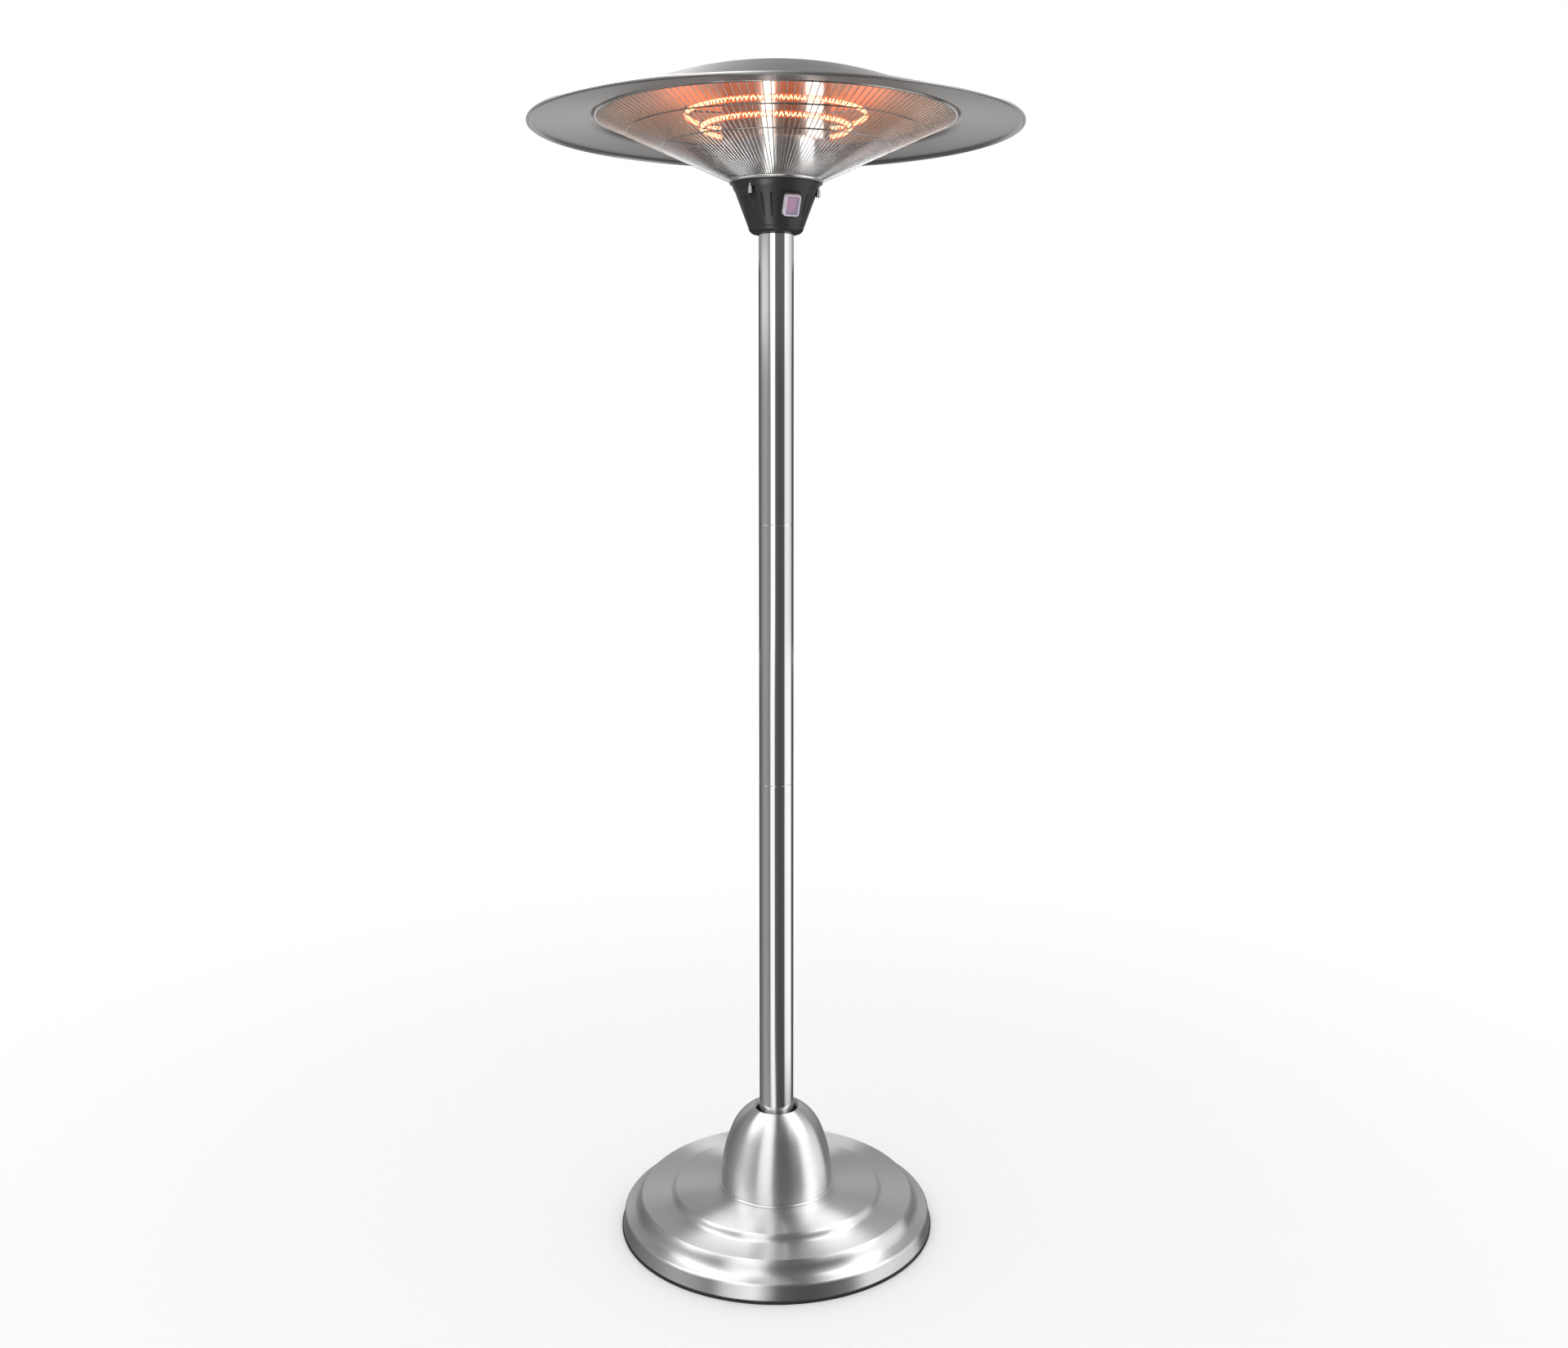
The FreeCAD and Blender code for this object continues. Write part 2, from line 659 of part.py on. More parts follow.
rocker_end = s.rocker_length / 2
rocker_crown = s.pivot_depth + s.rocker_crest
rocker_base = s.rocker_thickness - s.rocker_crest - s.pivot_depth
rocker_body = doc.addObject("PartDesign::Body", "rocker_moulding")
rocker_sketch = section(rocker_body, "YZ_Plane", [
    (s.rocker_keel / -2, rocker_base * -1), (s.rocker_keel / 2, rocker_base * -1),
    (rocker_end, s.pivot_depth / 2), (rocker_end, rocker_crown),
    (0, rocker_crown - s.rocker_dip), (rocker_end * -1, rocker_crown),
    (rocker_end * -1, s.pivot_depth / 2)])
rocker_pad = rocker_body.newObject("PartDesign::Pad", "rocker_pad")
rocker_pad.Profile = rocker_sketch
rocker_pad.setExpression("Length", s.rocker_width.text)
rocker_pad.Midplane = True
rock_rest = FreeCAD.Placement(FreeCAD.Vector(), FreeCAD.Rotation(AXIS_X, float(s.rock_angle) / 2))
rocker_body.Placement = under_pad(s.pivot_depth) * rock_rest
rocker_bore = pin_rod("rocker_bore", s.pivot_diameter / 2 + s.fit_gap, s.switch_width + s.overrun)
keep(cut("rocker", rocker_body, rocker_bore))

seal_inner_width = s.bezel_width + s.fit_gap
seal_inner_length = s.bezel_length + s.fit_gap
seal_outer = block("seal_outer", seal_inner_width + s.seal_wall * 2, seal_inner_length + s.seal_wall * 2,
                   s.seal_height, on_pad)
seal_room = block("seal_room", seal_inner_width, seal_inner_length, s.seal_height - s.seal_wall + s.overrun,
                  under_pad(s.overrun))
keep(cut("rocker_seal", seal_outer, seal_room))

# Support plate, column, drum and tie rods

sleeve_taps = group("sleeve_taps", shank_holes)
plate_disc = tube("support_plate_disc", s.plate_hole_radius, s.plate_radius, plate_low, plate_top)
keep(cut("support_plate", plate_disc,
         sleeve_taps))
column_top = plate_top + s.column_height
column_bore = s.column_radius - s.column_wall
column_flange = column_bore - s.column_flange_width
keep(lathe("lower_column", [
    (column_flange, plate_top), (s.column_radius, plate_top), (s.column_radius, column_top),
    (column_bore, column_top), (column_bore, plate_top + s.column_wall),
    (column_flange, plate_top + s.column_wall)]))
drum_top = column_top + s.drum_height
drum_bore = s.drum_radius - s.drum_wall
keep(lathe("upper_drum", [
    (s.drum_hole_radius, column_top), (s.drum_radius, column_top), (s.drum_radius, drum_top),
    (drum_bore, drum_top), (drum_bore, column_top + s.drum_wall),
    (s.drum_hole_radius, column_top + s.drum_wall)]))
lid_top = drum_top + s.lid_thickness
tie_rod = rod(s.tie_rod_radius, plate_top, drum_top)
keep(group("tie_rods", ringed(tie_rod, s.tie_rod_circle, s.tie_rod_count)))

# Lamps: two ring tubes round the drum, their filaments, holders and wire clips

lamp_sweep = FULL_TURN - float(s.lamp_gap_angle)


def ring_arc(radius, height, wire, sweep):
    """A ring of round wire that is open at the back."""
    circle = Part.makeCircle(float(wire), FreeCAD.Vector(0, -float(radius), 0), FreeCAD.Vector(1, 0, 0))
    face = Part.Face(Part.Wire(circle))
    face.rotate(FreeCAD.Vector(), UP, -sweep / 2)
    ring = face.revolve(FreeCAD.Vector(), UP, sweep)
    ring.translate(FreeCAD.Vector(0, 0, float(height)))
    return ring


def lamp(name, radius, height):
    """One ring lamp with its filament, its two end holders and its two clips; returns the fittings."""
    bore = s.lamp_tube_radius - s.lamp_tube_wall
    core = ring_arc(radius, height, bore, lamp_sweep)
    keep(group(f"{name}_lamp", [ring_arc(radius, height, s.lamp_tube_radius, lamp_sweep).cut(core)]))
    keep(group(f"{name}_filament", [ring_arc(radius, height, s.filament_radius, lamp_sweep)]))
    reach = radius - s.drum_radius + s.holder_overhang
    seat = ring_arc(radius, height, s.lamp_tube_radius + s.fit_gap, lamp_sweep)
    holders = []
    for side in (-1, 1):
        brick = Part.makeBox(float(s.holder_width), float(reach), float(s.holder_height))
        brick.translate(FreeCAD.Vector(-float(s.holder_width) / 2, -float(s.drum_radius + reach),
                                       float(height - s.holder_height / 2)))
        turn = math.degrees((float(s.holder_width) / 2 - float(s.lamp_seal_length)) / float(radius))
        brick.rotate(FreeCAD.Vector(), UP, side * (lamp_sweep / 2 + turn))
        drum_room = rod(s.drum_radius + s.seat_gap / 2, column_top, drum_top)
        holders.append(brick.cut(seat).cut(drum_room))
    clips = []
    for side in (-1, 1):
        loop_radius = float(s.lamp_tube_radius + s.clip_wire_radius + s.fit_gap)
        loop_centre = FreeCAD.Vector(0, -float(radius), float(height))
        loop = Part.makeTorus(loop_radius, float(s.clip_wire_radius), loop_centre, AXIS_X)
        stem_start = FreeCAD.Vector(0, -float(s.drum_radius + s.seat_gap / 2), float(height))
        stem_length = float(radius - s.lamp_tube_radius - s.fit_gap * 2 - s.drum_radius - s.seat_gap / 2
                            - s.clip_wire_radius)
        stem = Part.makeCylinder(float(s.clip_wire_radius), stem_length, stem_start, FreeCAD.Vector(0, -1, 0))
        clip = loop.fuse(stem).removeSplitter()
        clip.rotate(FreeCAD.Vector(), UP, side * float(s.clip_azimuth))
        clips.append(clip)
    return holders, clips


upper_holders, upper_clips = lamp("upper", s.upper_lamp_radius, column_top + s.drum_height * UPPER_LAMP_SHARE)
lower_holders, lower_clips = lamp("lower", s.lower_lamp_radius, column_top + s.drum_height * LOWER_LAMP_SHARE)
keep(group("upper_lamp_holders", upper_holders))
keep(group("lower_lamp_holders", lower_holders))
keep(group("lamp_clips", upper_clips + lower_clips))

# Reflector, shade and the screws that hang them on the drum's lid

reflector_low = lid_top
reflector_top = reflector_low + s.reflector_wall
crown_top = reflector_top + s.crown_clearance + s.shade_wall


def crown_fall(radius):
    """How far a surface of the crown's curve lies below its top at a radius."""
    curve = s.crown_curve
    value = float(curve) - math.sqrt(float(curve) ** 2 - float(radius) ** 2)
    return Size(value, f"({curve.text} - sqrt({curve.text}^2 - {radius.text}^2))")


reflector_radius = s.crown_radius - s.reflector_inset
reflector_flat = s.drum_radius + s.reflector_flat_margin
reflector_edge = reflector_low + crown_fall(reflector_flat) - crown_fall(reflector_radius)
screw_hole = rod(s.shade_screw_radius + s.fit_gap, drum_top - s.overrun, crown_top + s.overrun)
screw_holes = group("shade_screw_holes", ringed(screw_hole, s.shade_screw_circle, s.shade_screw_count,
                                                s.shade_screw_azimuth))
lid_disc = lathe("drum_lid_disc", [
    (0, drum_top), (s.drum_radius, drum_top), (s.drum_radius, lid_top), (0, lid_top)])
keep(cut("drum_lid", lid_disc, screw_holes))
keep(cut("inner_reflector", lathe("inner_reflector_dish", [
    (0, reflector_low), (reflector_flat, reflector_low, s.crown_curve * -1),
    (reflector_radius, reflector_edge), (reflector_radius, reflector_edge + s.reflector_wall, s.crown_curve),
    (reflector_flat, reflector_top), (0, reflector_top)]), screw_holes))

spacer_top = crown_top - s.shade_wall - s.fit_gap / 2 - crown_fall(s.shade_screw_circle + s.spacer_radius)
spacer = rod(s.spacer_radius, reflector_top, spacer_top).cut(
    rod(s.spacer_bore_radius, reflector_top - s.overrun, crown_top))
keep(group("shade_spacers", ringed(spacer, s.shade_screw_circle, s.shade_screw_count, s.shade_screw_azimuth)))

shoulder_radius = s.crown_radius - s.shoulder_width
shoulder_level = crown_top - crown_fall(shoulder_radius)
crown_edge = shoulder_level - s.shoulder_drop
rim_high = crown_edge - s.brim_drop
rim_level = rim_high - s.rim_roll
roll_centre = s.rim_radius - s.rim_roll
inner_edge = s.crown_radius - s.shade_wall / 2
shade = lathe("shade_spinning", [
    (0, crown_top - s.shade_wall, s.crown_curve * -1),
    (shoulder_radius, shoulder_level - s.shade_wall, s.shoulder_curve * -1),
    (inner_edge, crown_edge - s.shade_wall), (roll_centre - s.rim_roll, rim_high - s.shade_wall),
    (roll_centre, rim_level - s.rim_roll, s.rim_roll), (s.rim_radius, rim_level, s.rim_roll),
    (roll_centre, rim_high), (s.crown_radius, crown_edge, s.shoulder_curve),
    (shoulder_radius, shoulder_level, s.crown_curve), (0, crown_top)])
keep(cut("shade", shade, screw_holes))

head_low = crown_top + s.fit_gap / 2 - crown_fall(s.shade_screw_circle - s.shade_screw_head_radius)
head_high = head_low + s.shade_screw_head_height
shade_screw = rod(s.shade_screw_radius, drum_top, head_low).fuse(
    rod(s.shade_screw_head_radius, head_low, head_high)).removeSplitter()
keep(group("shade_screws", ringed(shade_screw, s.shade_screw_circle, s.shade_screw_count,
                                  s.shade_screw_azimuth)))

# Guard: a cone of straight wires welded to two rings and two hoops

guard_low = plate_top + s.guard_ring_wire
guard_high = crown_edge + s.guard_rim_lift
guard_rise = guard_high - guard_low
guard_rim = s.crown_radius - s.guard_rim_inset
guard_run = guard_rim - s.guard_ring_radius
keep(torus("guard_bottom_ring", s.guard_ring_radius, s.guard_ring_wire, guard_low))
keep(torus("guard_top_ring", guard_rim, s.guard_rim_wire, guard_high))
for label, share in (("guard_inner_hoop", INNER_HOOP_SHARE), ("guard_outer_hoop", OUTER_HOOP_SHARE)):
    keep(torus(label, s.guard_ring_radius + guard_run * share, s.guard_hoop_wire,
               guard_low + guard_rise * share))
wire_start = FreeCAD.Vector(0, -float(s.guard_ring_radius), float(guard_low))
wire_way = FreeCAD.Vector(0, -float(guard_run), float(guard_rise))
wire = Part.makeCylinder(float(s.guard_wire), wire_way.Length, wire_start, wire_way)
keep(group("guard_wires", ringed(wire, 0, s.guard_wire_count)))

# Checks and files

doc.recompute()
failed = [item.Name for item in doc.Objects if "Invalid" in item.State or "Error" in item.State]
if failed:
    raise RuntimeError(f"objects that failed: {failed}")
for node in nodes:
    if node.Shape.isNull() or not node.Shape.isValid() or not node.Shape.Solids:
        raise RuntimeError(f"no valid solid in {node.Label}")
os.makedirs("parts", exist_ok=True)
for node in nodes:
    node.Shape.exportStep(os.path.join("parts", f"{node.Label}.step"))
    box = node.Shape.BoundBox
    print(f"{node.Label}: {len(node.Shape.Solids)} solids, {node.Shape.Volume:.0f} mm3, "
          f"z {box.ZMin:.1f} to {box.ZMax:.1f}, x {box.XMin:.1f} to {box.XMax:.1f}")
print(f"{len(nodes)} nodes, pivot at {under_pad(s.pivot_depth).Base}, "
      f"axis {on_pad.Rotation.multVec(AXIS_X)}, height {float(head_high):.1f}")
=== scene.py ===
# %% [markdown]
# # A freestanding heater
#
# A tall polished pole stands on a weighted, stepped foot and carries a wide metal hat.
# Under the hat two ring-shaped quartz lamps glow behind a cone of thin wires, and the hat
# throws their warmth down. The CAD part gives every size and joint. This lesson dresses it:
# each piece is remade as a smooth mesh in the same place, with a finish of its own.

# %% Load the CAD part as a fixed frame
import math

import bpy
import numpy
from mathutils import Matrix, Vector


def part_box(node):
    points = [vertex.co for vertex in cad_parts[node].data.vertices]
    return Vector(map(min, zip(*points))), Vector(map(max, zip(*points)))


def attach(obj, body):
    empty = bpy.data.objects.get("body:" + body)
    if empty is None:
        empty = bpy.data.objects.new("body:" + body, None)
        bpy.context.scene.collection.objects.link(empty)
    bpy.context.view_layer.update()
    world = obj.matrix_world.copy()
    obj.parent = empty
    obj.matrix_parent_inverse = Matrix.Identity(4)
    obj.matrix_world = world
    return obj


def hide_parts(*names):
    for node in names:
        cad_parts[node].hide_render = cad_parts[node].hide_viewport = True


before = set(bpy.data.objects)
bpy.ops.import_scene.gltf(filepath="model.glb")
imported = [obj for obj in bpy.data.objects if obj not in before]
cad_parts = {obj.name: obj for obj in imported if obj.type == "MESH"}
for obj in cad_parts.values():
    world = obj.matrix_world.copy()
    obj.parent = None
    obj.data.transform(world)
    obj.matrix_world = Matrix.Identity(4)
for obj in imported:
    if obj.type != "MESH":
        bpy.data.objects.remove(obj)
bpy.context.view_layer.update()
MM = 0.001
TURN = 2 * math.pi

# %% [markdown]
# ## Reading sizes from the part
#
# Nearly every piece of this heater is turned on a lathe, spun from a disc or bent into a
# ring, so three numbers describe most of it: the lowest level, the highest level and the
# outer radius. They are read from the CAD boxes, so the looks stay on the part.

# %% Levels and radii
def low(node):
    """The lowest level of a node."""
    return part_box(node)[0].z


def high(node):
    """The highest level of a node."""
    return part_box(node)[1].z


def reach(node):
    """The outer radius of a turned node."""
    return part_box(node)[1].x


for node in ("base_cover", "bell_cover", "upper_pole", "switch_housing", "shade"):
    print(node, "from", round(low(node), 4), "to", round(high(node), 4), "radius", round(reach(node), 4))

# %% [markdown]
# ## A small language for node trees
#
# Finishes and repeated shapes are built from nodes. Wrapping a socket in a class lets the
# sums be written as ordinary arithmetic, and one method makes every other kind of node.

# %% The socket wrapper
class Signal:
    """A value on its way through a node tree; arithmetic on it adds Math nodes."""

    def __init__(self, tree, socket):
        self.tree, self.socket = tree, socket

    @classmethod
    def of(cls, tree, kind, settings=None, inputs=None, output=0):
        """Any node: its settings first, then the values or links of its sockets."""
        node = tree.nodes.new(kind)
        for name, value in (settings or {}).items():
            setattr(node, name, value)
        for name, value in (inputs or {}).items():
            if isinstance(value, Signal):
                tree.links.new(value.socket, node.inputs[name])
            else:
                node.inputs[name].default_value = value
        return cls(tree, node.outputs[output])

    def into(self, node, socket):
        self.tree.links.new(self.socket, node.inputs[socket])

    def sums(operation):
        """An operator and its reflected form; each adds one Math node."""
        def plain(self, other):
            return Signal.of(self.tree, "ShaderNodeMath", {"operation": operation}, {0: self, 1: other})

        def reflected(self, other):
            return Signal.of(self.tree, "ShaderNodeMath", {"operation": operation}, {0: other, 1: self})

        return plain, reflected

    __add__, __radd__ = sums("ADD")
    __sub__, __rsub__ = sums("SUBTRACT")
    __mul__, __rmul__ = sums("MULTIPLY")
    __truediv__, __rtruediv__ = sums("DIVIDE")
    __pow__, __rpow__ = sums("POWER")


def mixed(factor, first, second):
    """A colour between two colours; each is a triple or a signal."""
    first, second = [end if isinstance(end, Signal) else (*end, 1.0) for end in (first, second)]
    return Signal.of(factor.tree, "ShaderNodeMix", {"data_type": "RGBA"},
                     {0: factor, 6: first, 7: second}, output=2)


def spread(value, low_end, high_end, start=0.0, end=1.0, easing="LINEAR"):
    """A value moved from one range to another and kept inside it."""
    return Signal.of(value.tree, "ShaderNodeMapRange", {"clamp": True, "interpolation_type": easing},
                     {"Value": value, "From Min": start, "From Max": end,
                      "To Min": low_end, "To Max": high_end})


print("signal operations:", [name for name in vars(Signal) if name.startswith("__r") and name != "__repr__"])

# %% [markdown]
# ## Finishes
#
# Spun and turned metal carries very fine rings from the polishing wheel, so its highlights
# smear across the rings. Tubes are polished almost to a mirror, the foot is brushed, and
# the hat is satin aluminium. The black housing is a moulding with a fine grain.

# %% Helpers for finishes
finishes = {}
FINE_DETAIL, RING_DETAIL, CLOUD_SCALE = 3.0, 4.0, 9.0
SPUN_DEPTH, CAST_DEPTH = 0.0004, 0.0003


def grey(level):
    return (level, level, level)


def new_finish(name, **constants):
    """A Principled material with its constant values set on the sockets themselves."""
    material = finishes[name] = bpy.data.materials.new(name)
    material.use_nodes = True
    surface = material.node_tree.nodes["Principled BSDF"]
    for socket, value in constants.items():
        surface.inputs[socket.replace("_", " ")].default_value = value
    return material.node_tree, surface


def place_on(tree):
    """The place on a piece, in the object's own coordinates."""
    return Signal.of(tree, "ShaderNodeTexCoord", output="Object")


def along(place, axis):
    """One coordinate of a place."""
    return Signal.of(place.tree, "ShaderNodeSeparateXYZ", {}, {0: place}, output=axis)


def grain(tree, scale):
    """Noise in the object's own coordinates."""
    return Signal.of(tree, "ShaderNodeTexNoise", {},
                     {"Vector": place_on(tree), "Scale": scale, "Detail": FINE_DETAIL})


def ring_lines(tree, scale):
    """Noise that is the same all the way round the Z axis: the marks of a polishing wheel."""
    place = place_on(tree)
    x, y, z = [along(place, axis) for axis in "XYZ"]
    flat = Signal.of(tree, "ShaderNodeCombineXYZ", {}, {"X": (x * x + y * y) ** 0.5, "Z": z})
    return Signal.of(tree, "ShaderNodeTexNoise", {}, {"Vector": flat, "Scale": scale, "Detail": RING_DETAIL})


def raised(surface, height, strength, depth):
    """A bump from a height value."""
    bump = Signal.of(height.tree, "ShaderNodeBump", {},
                     {"Height": height, "Strength": strength, "Distance": depth})
    bump.into(surface, "Normal")


def spun_metal(name, colour, worn, roughness, rings, brushing, bump=0.05, metallic=1.0):
    """Polished or brushed metal with rings about the Z axis."""
    tree, surface = new_finish(name, Metallic=metallic, Anisotropic=brushing, Anisotropic_Rotation=0.25)
    lines, cloud = ring_lines(tree, rings), grain(tree, CLOUD_SCALE)
    mixed(lines * 0.6 + cloud * 0.4, worn, colour).into(surface, "Base Color")
    spread(lines * 0.7 + cloud * 0.3, roughness * 0.75, roughness * 1.25).into(surface, "Roughness")
    raised(surface, lines, bump, SPUN_DEPTH)
    return tree, surface


def cloudy(name, first, second, roughness, scale, uneven, bump, **constants):
    """A finish with a cloudy colour, an uneven gloss and a fine grain."""
    tree, surface = new_finish(name, **constants)
    cloud = grain(tree, scale)
    mixed(cloud, first, second).into(surface, "Base Color")
    spread(cloud, roughness * (1 - uneven), roughness * (1 + uneven)).into(surface, "Roughness")
    raised(surface, cloud, bump, CAST_DEPTH)


def plain_metal(name, colour, worn, roughness, scale):
    """Drawn, turned or plated metal."""
    cloudy(name, worn, colour, roughness, scale, 0.3, 0.04, Metallic=1.0)


def moulding(name, colour, light, roughness, scale, bump=0.12, shine=0.5):
    """Plastic, rubber, ceramic or stone."""
    cloudy(name, colour, light, roughness, scale, 0.2, bump, Specular_IOR_Level=shine)


print("families of finish:", [family.__name__ for family in (spun_metal, plain_metal, moulding)])

# %% The metals
spun_metal("polished_steel", grey(0.86), grey(0.78), 0.13, 900.0, brushing=0.55, bump=0.02)
spun_metal("brushed_steel", grey(0.94), grey(0.72), 0.36, 520.0, brushing=1.0, bump=0.14)
spun_metal("shade_aluminium", (0.83, 0.81, 0.80), (0.67, 0.655, 0.645), 0.36, 520.0, brushing=0.5, bump=0.08)
spun_metal("reflector_aluminium", (0.94, 0.92, 0.90), (0.80, 0.76, 0.73), 0.40, 700.0, brushing=1.0)
# The reflector dish is painted orange-brown: painted warm light from the lamps on its aluminium.
spun_metal("reflector_painted_warm", (0.64, 0.43, 0.31), (0.50, 0.33, 0.23), 0.36, 500.0, brushing=0.9, bump=0.08,
           metallic=0.15)
plain_metal("chromed_wire", grey(0.85), grey(0.72), 0.16, 300.0)
plain_metal("chromed_screw", grey(0.80), grey(0.66), 0.18, 400.0)
plain_metal("zinc_steel", (0.62, 0.63, 0.65), (0.48, 0.49, 0.52), 0.38, 120.0)
print("metals:", sorted(finishes))

# %% [markdown]
# Two metals change with height, and both carry painted light. The guard's wires are bright low down and
# painted a darker brown where they pass the lamps: painted warm reflection and painted shade. The drum is
# painted a warm straw tint, and a faint painted glow on it stands for the light of the lamps beside it.
# One ramp over the level makes each change.

# %% The metals near the lamps
# Painted shade and painted warm reflection: the wires are painted a darker brown from just below the lower
# lamp upward.
PAINTED_SHADE_SWAY, PAINTED_SHADE_RISE, PAINTED_SHADE_END = 12.0 * MM, 45.0 * MM, low("lower_lamp")
tree, surface = new_finish("wire_with_painted_warm_shade", Metallic=1.0)
cloud = grain(tree, 150.0)
level = along(place_on(tree), "Z") + cloud * PAINTED_SHADE_SWAY
lamp_and_painted_warmth = spread(level, 0.0, 1.0, PAINTED_SHADE_END - PAINTED_SHADE_RISE, PAINTED_SHADE_END, "SMOOTHSTEP")
bright = mixed(cloud, grey(0.80), grey(0.92))
painted_warm_shade = mixed(cloud, (0.50, 0.41, 0.36), (0.64, 0.54, 0.49))
mixed(lamp_and_painted_warmth, bright, painted_warm_shade).into(surface, "Base Color")
spread(cloud, 0.10, 0.20).into(surface, "Roughness")

# Painted light: the drum's warm tint and its glow, stronger towards the top, are painted lamp light.
tree, surface = spun_metal("aluminium_with_painted_glow", (0.94, 0.79, 0.70), (0.80, 0.65, 0.57), 0.40, 700.0,
                           brushing=1.0)
surface.inputs["Emission Strength"].default_value = 1.0
lamp_and_painted_warmth = spread(along(place_on(tree), "Z"), 0.0, 1.0, low("upper_drum"), high("upper_drum"), "SMOOTHSTEP")
mixed(lamp_and_painted_warmth, (0.05, 0.010, 0.003), (0.46, 0.080, 0.018)).into(surface, "Emission Color")
print("nodes in the drum's finish:", len(tree.nodes))

# %% The mouldings
moulding("black_moulding", (0.018, 0.018, 0.019), (0.030, 0.030, 0.031), 0.33, 1500.0, shine=0.42)
moulding("switch_black", grey(0.012), grey(0.025), 0.40, 900.0)
moulding("rocker_red", (0.56, 0.06, 0.14), (0.66, 0.10, 0.18), 0.28, 700.0, bump=0.05)
moulding("terminal_white", (0.72, 0.72, 0.70), (0.80, 0.80, 0.78), 0.45, 500.0)
moulding("black_rubber", grey(0.012), grey(0.030), 0.65, 800.0)
moulding("ballast_stone", (0.26, 0.25, 0.24), (0.42, 0.41, 0.39), 0.85, 90.0, bump=0.5)
moulding("lamp_ceramic", (0.66, 0.62, 0.56), (0.80, 0.77, 0.72), 0.55, 300.0)
print("finishes so far:", len(finishes))

# %% [markdown]
# ## Glass, glow and the clear cap
#
# A quartz tube is clear, and the coil in it runs at a dull orange to yellow heat. The tube
# is given a faint glow of its own, because hot quartz scatters the coil's light. The cap
# over the switch is milky silicone: one sees the red rocker through it.

# %% Clear and glowing finishes
tree, surface = new_finish("glowing_filament", Roughness=0.6, Emission_Strength=6.5)
lamp_and_painted_warmth = grain(tree, 60.0)
mixed(lamp_and_painted_warmth, (0.30, 0.08, 0.03), (0.45, 0.14, 0.05)).into(surface, "Base Color")
mixed(lamp_and_painted_warmth, (1.0, 0.33, 0.10), (1.0, 0.50, 0.25)).into(surface, "Emission Color")

tree, surface = new_finish("quartz", Roughness=0.05, Emission_Strength=1.0)
cloud = grain(tree, 80.0)
mixed(cloud, (0.60, 0.16, 0.06), (0.75, 0.22, 0.09)).into(surface, "Base Color")
mixed(cloud, (0.80, 0.075, 0.012), (0.95, 0.11, 0.018)).into(surface, "Emission Color")
edge = Signal.of(tree, "ShaderNodeLayerWeight", {}, {"Blend": 0.4}, output="Facing")
(edge * 0.45 + 0.16).into(surface, "Alpha")

tree, surface = new_finish("clear_silicone", IOR=1.40)
cloud = grain(tree, 400.0)
clearness = Signal.of(tree, "ShaderNodeAttribute", {"attribute_name": "clearness"}, output="Fac")
cap_frame = mixed(cloud, (0.70, 0.66, 0.74), (0.80, 0.76, 0.84))
cap_window = mixed(cloud, (0.62, 0.52, 0.74), (0.72, 0.62, 0.84))
mixed(clearness, cap_frame, cap_window).into(surface, "Base Color")
spread(cloud, 0.22, 0.34).into(surface, "Roughness")
(0.82 - clearness * 0.52).into(surface, "Alpha")
print("all finishes:", len(finishes))

# %% [markdown]
# ## Turning pieces on a lathe
#
# A lathe or a spinning chuck sweeps one outline around an axis. The helpers below do just
# that: an outline of radius and height, arcs between its points, and a small round on
# every sharp corner, because a real edge always catches a line of light.

# %% Outline helpers
TINY = 1e-7
SHARP_CORNER, TRIM_SHARE, HOLD_SHARE = math.radians(150), 0.45, 1.8


def bow(start, end, radius, steps):
    """Points along an arc between two outline points; the sign of the radius picks the side."""
    (r0, z0), (r1, z1) = start, end
    half = math.hypot(r1 - r0, z1 - z0) / 2
    away = math.sqrt(max(radius ** 2 - half ** 2, 0.0)) * math.copysign(1.0, radius)
    middle = ((r0 + r1) / 2 - away * (z1 - z0) / (2 * half), (z0 + z1) / 2 + away * (r1 - r0) / (2 * half))
    first = math.atan2(z0 - middle[1], r0 - middle[0])
    last = math.atan2(z1 - middle[1], r1 - middle[0])
    sweep = (last - first + math.pi) % TURN - math.pi
    return [(middle[0] + abs(radius) * math.cos(first + sweep * i / steps),
             middle[1] + abs(radius) * math.sin(first + sweep * i / steps)) for i in range(steps + 1)]


def rounded(start, corner, end, steps=3):
    """Points along a soft curve from start to end that leans towards the corner."""
    start, corner, end = Vector(start), Vector(corner), Vector(end)
    shares = [step / steps for step in range(steps + 1)]
    return [tuple(start * (1 - t) ** 2 + corner * (2 * t * (1 - t)) + end * t ** 2) for t in shares]


def softened(outline, edge):
    """A closed outline with its sharp corners rounded; a point beside each round keeps the walls flat."""
    soft = []
    for index, corner in enumerate(outline):
        here = Vector(corner)
        back, ahead = Vector(outline[index - 1]) - here, Vector(outline[(index + 1) % len(outline)]) - here
        if here.x < TINY or min(back.length, ahead.length) < TINY or back.angle(ahead) > SHARP_CORNER:
            soft.append(tuple(here))
            continue
        trim = min(edge / math.tan(back.angle(ahead) / 2),
                   back.length * TRIM_SHARE, ahead.length * TRIM_SHARE)
        hold = trim * HOLD_SHARE
        if hold < back.length / 2:
            soft.append(tuple(here + back.normalized() * hold))
        soft += rounded(here + back.normalized() * trim, here, here + ahead.normalized() * trim)
        if hold < ahead.length / 2:
            soft.append(tuple(here + ahead.normalized() * hold))
    return soft


def square_ring(node, inner, edge):
    """The outline of a square-cut ring or tube that fills a node's box, with softened edges."""
    outer, bottom, top = reach(node), low(node), high(node)
    return softened([(inner, bottom), (outer, bottom), (outer, top), (inner, top)], edge)


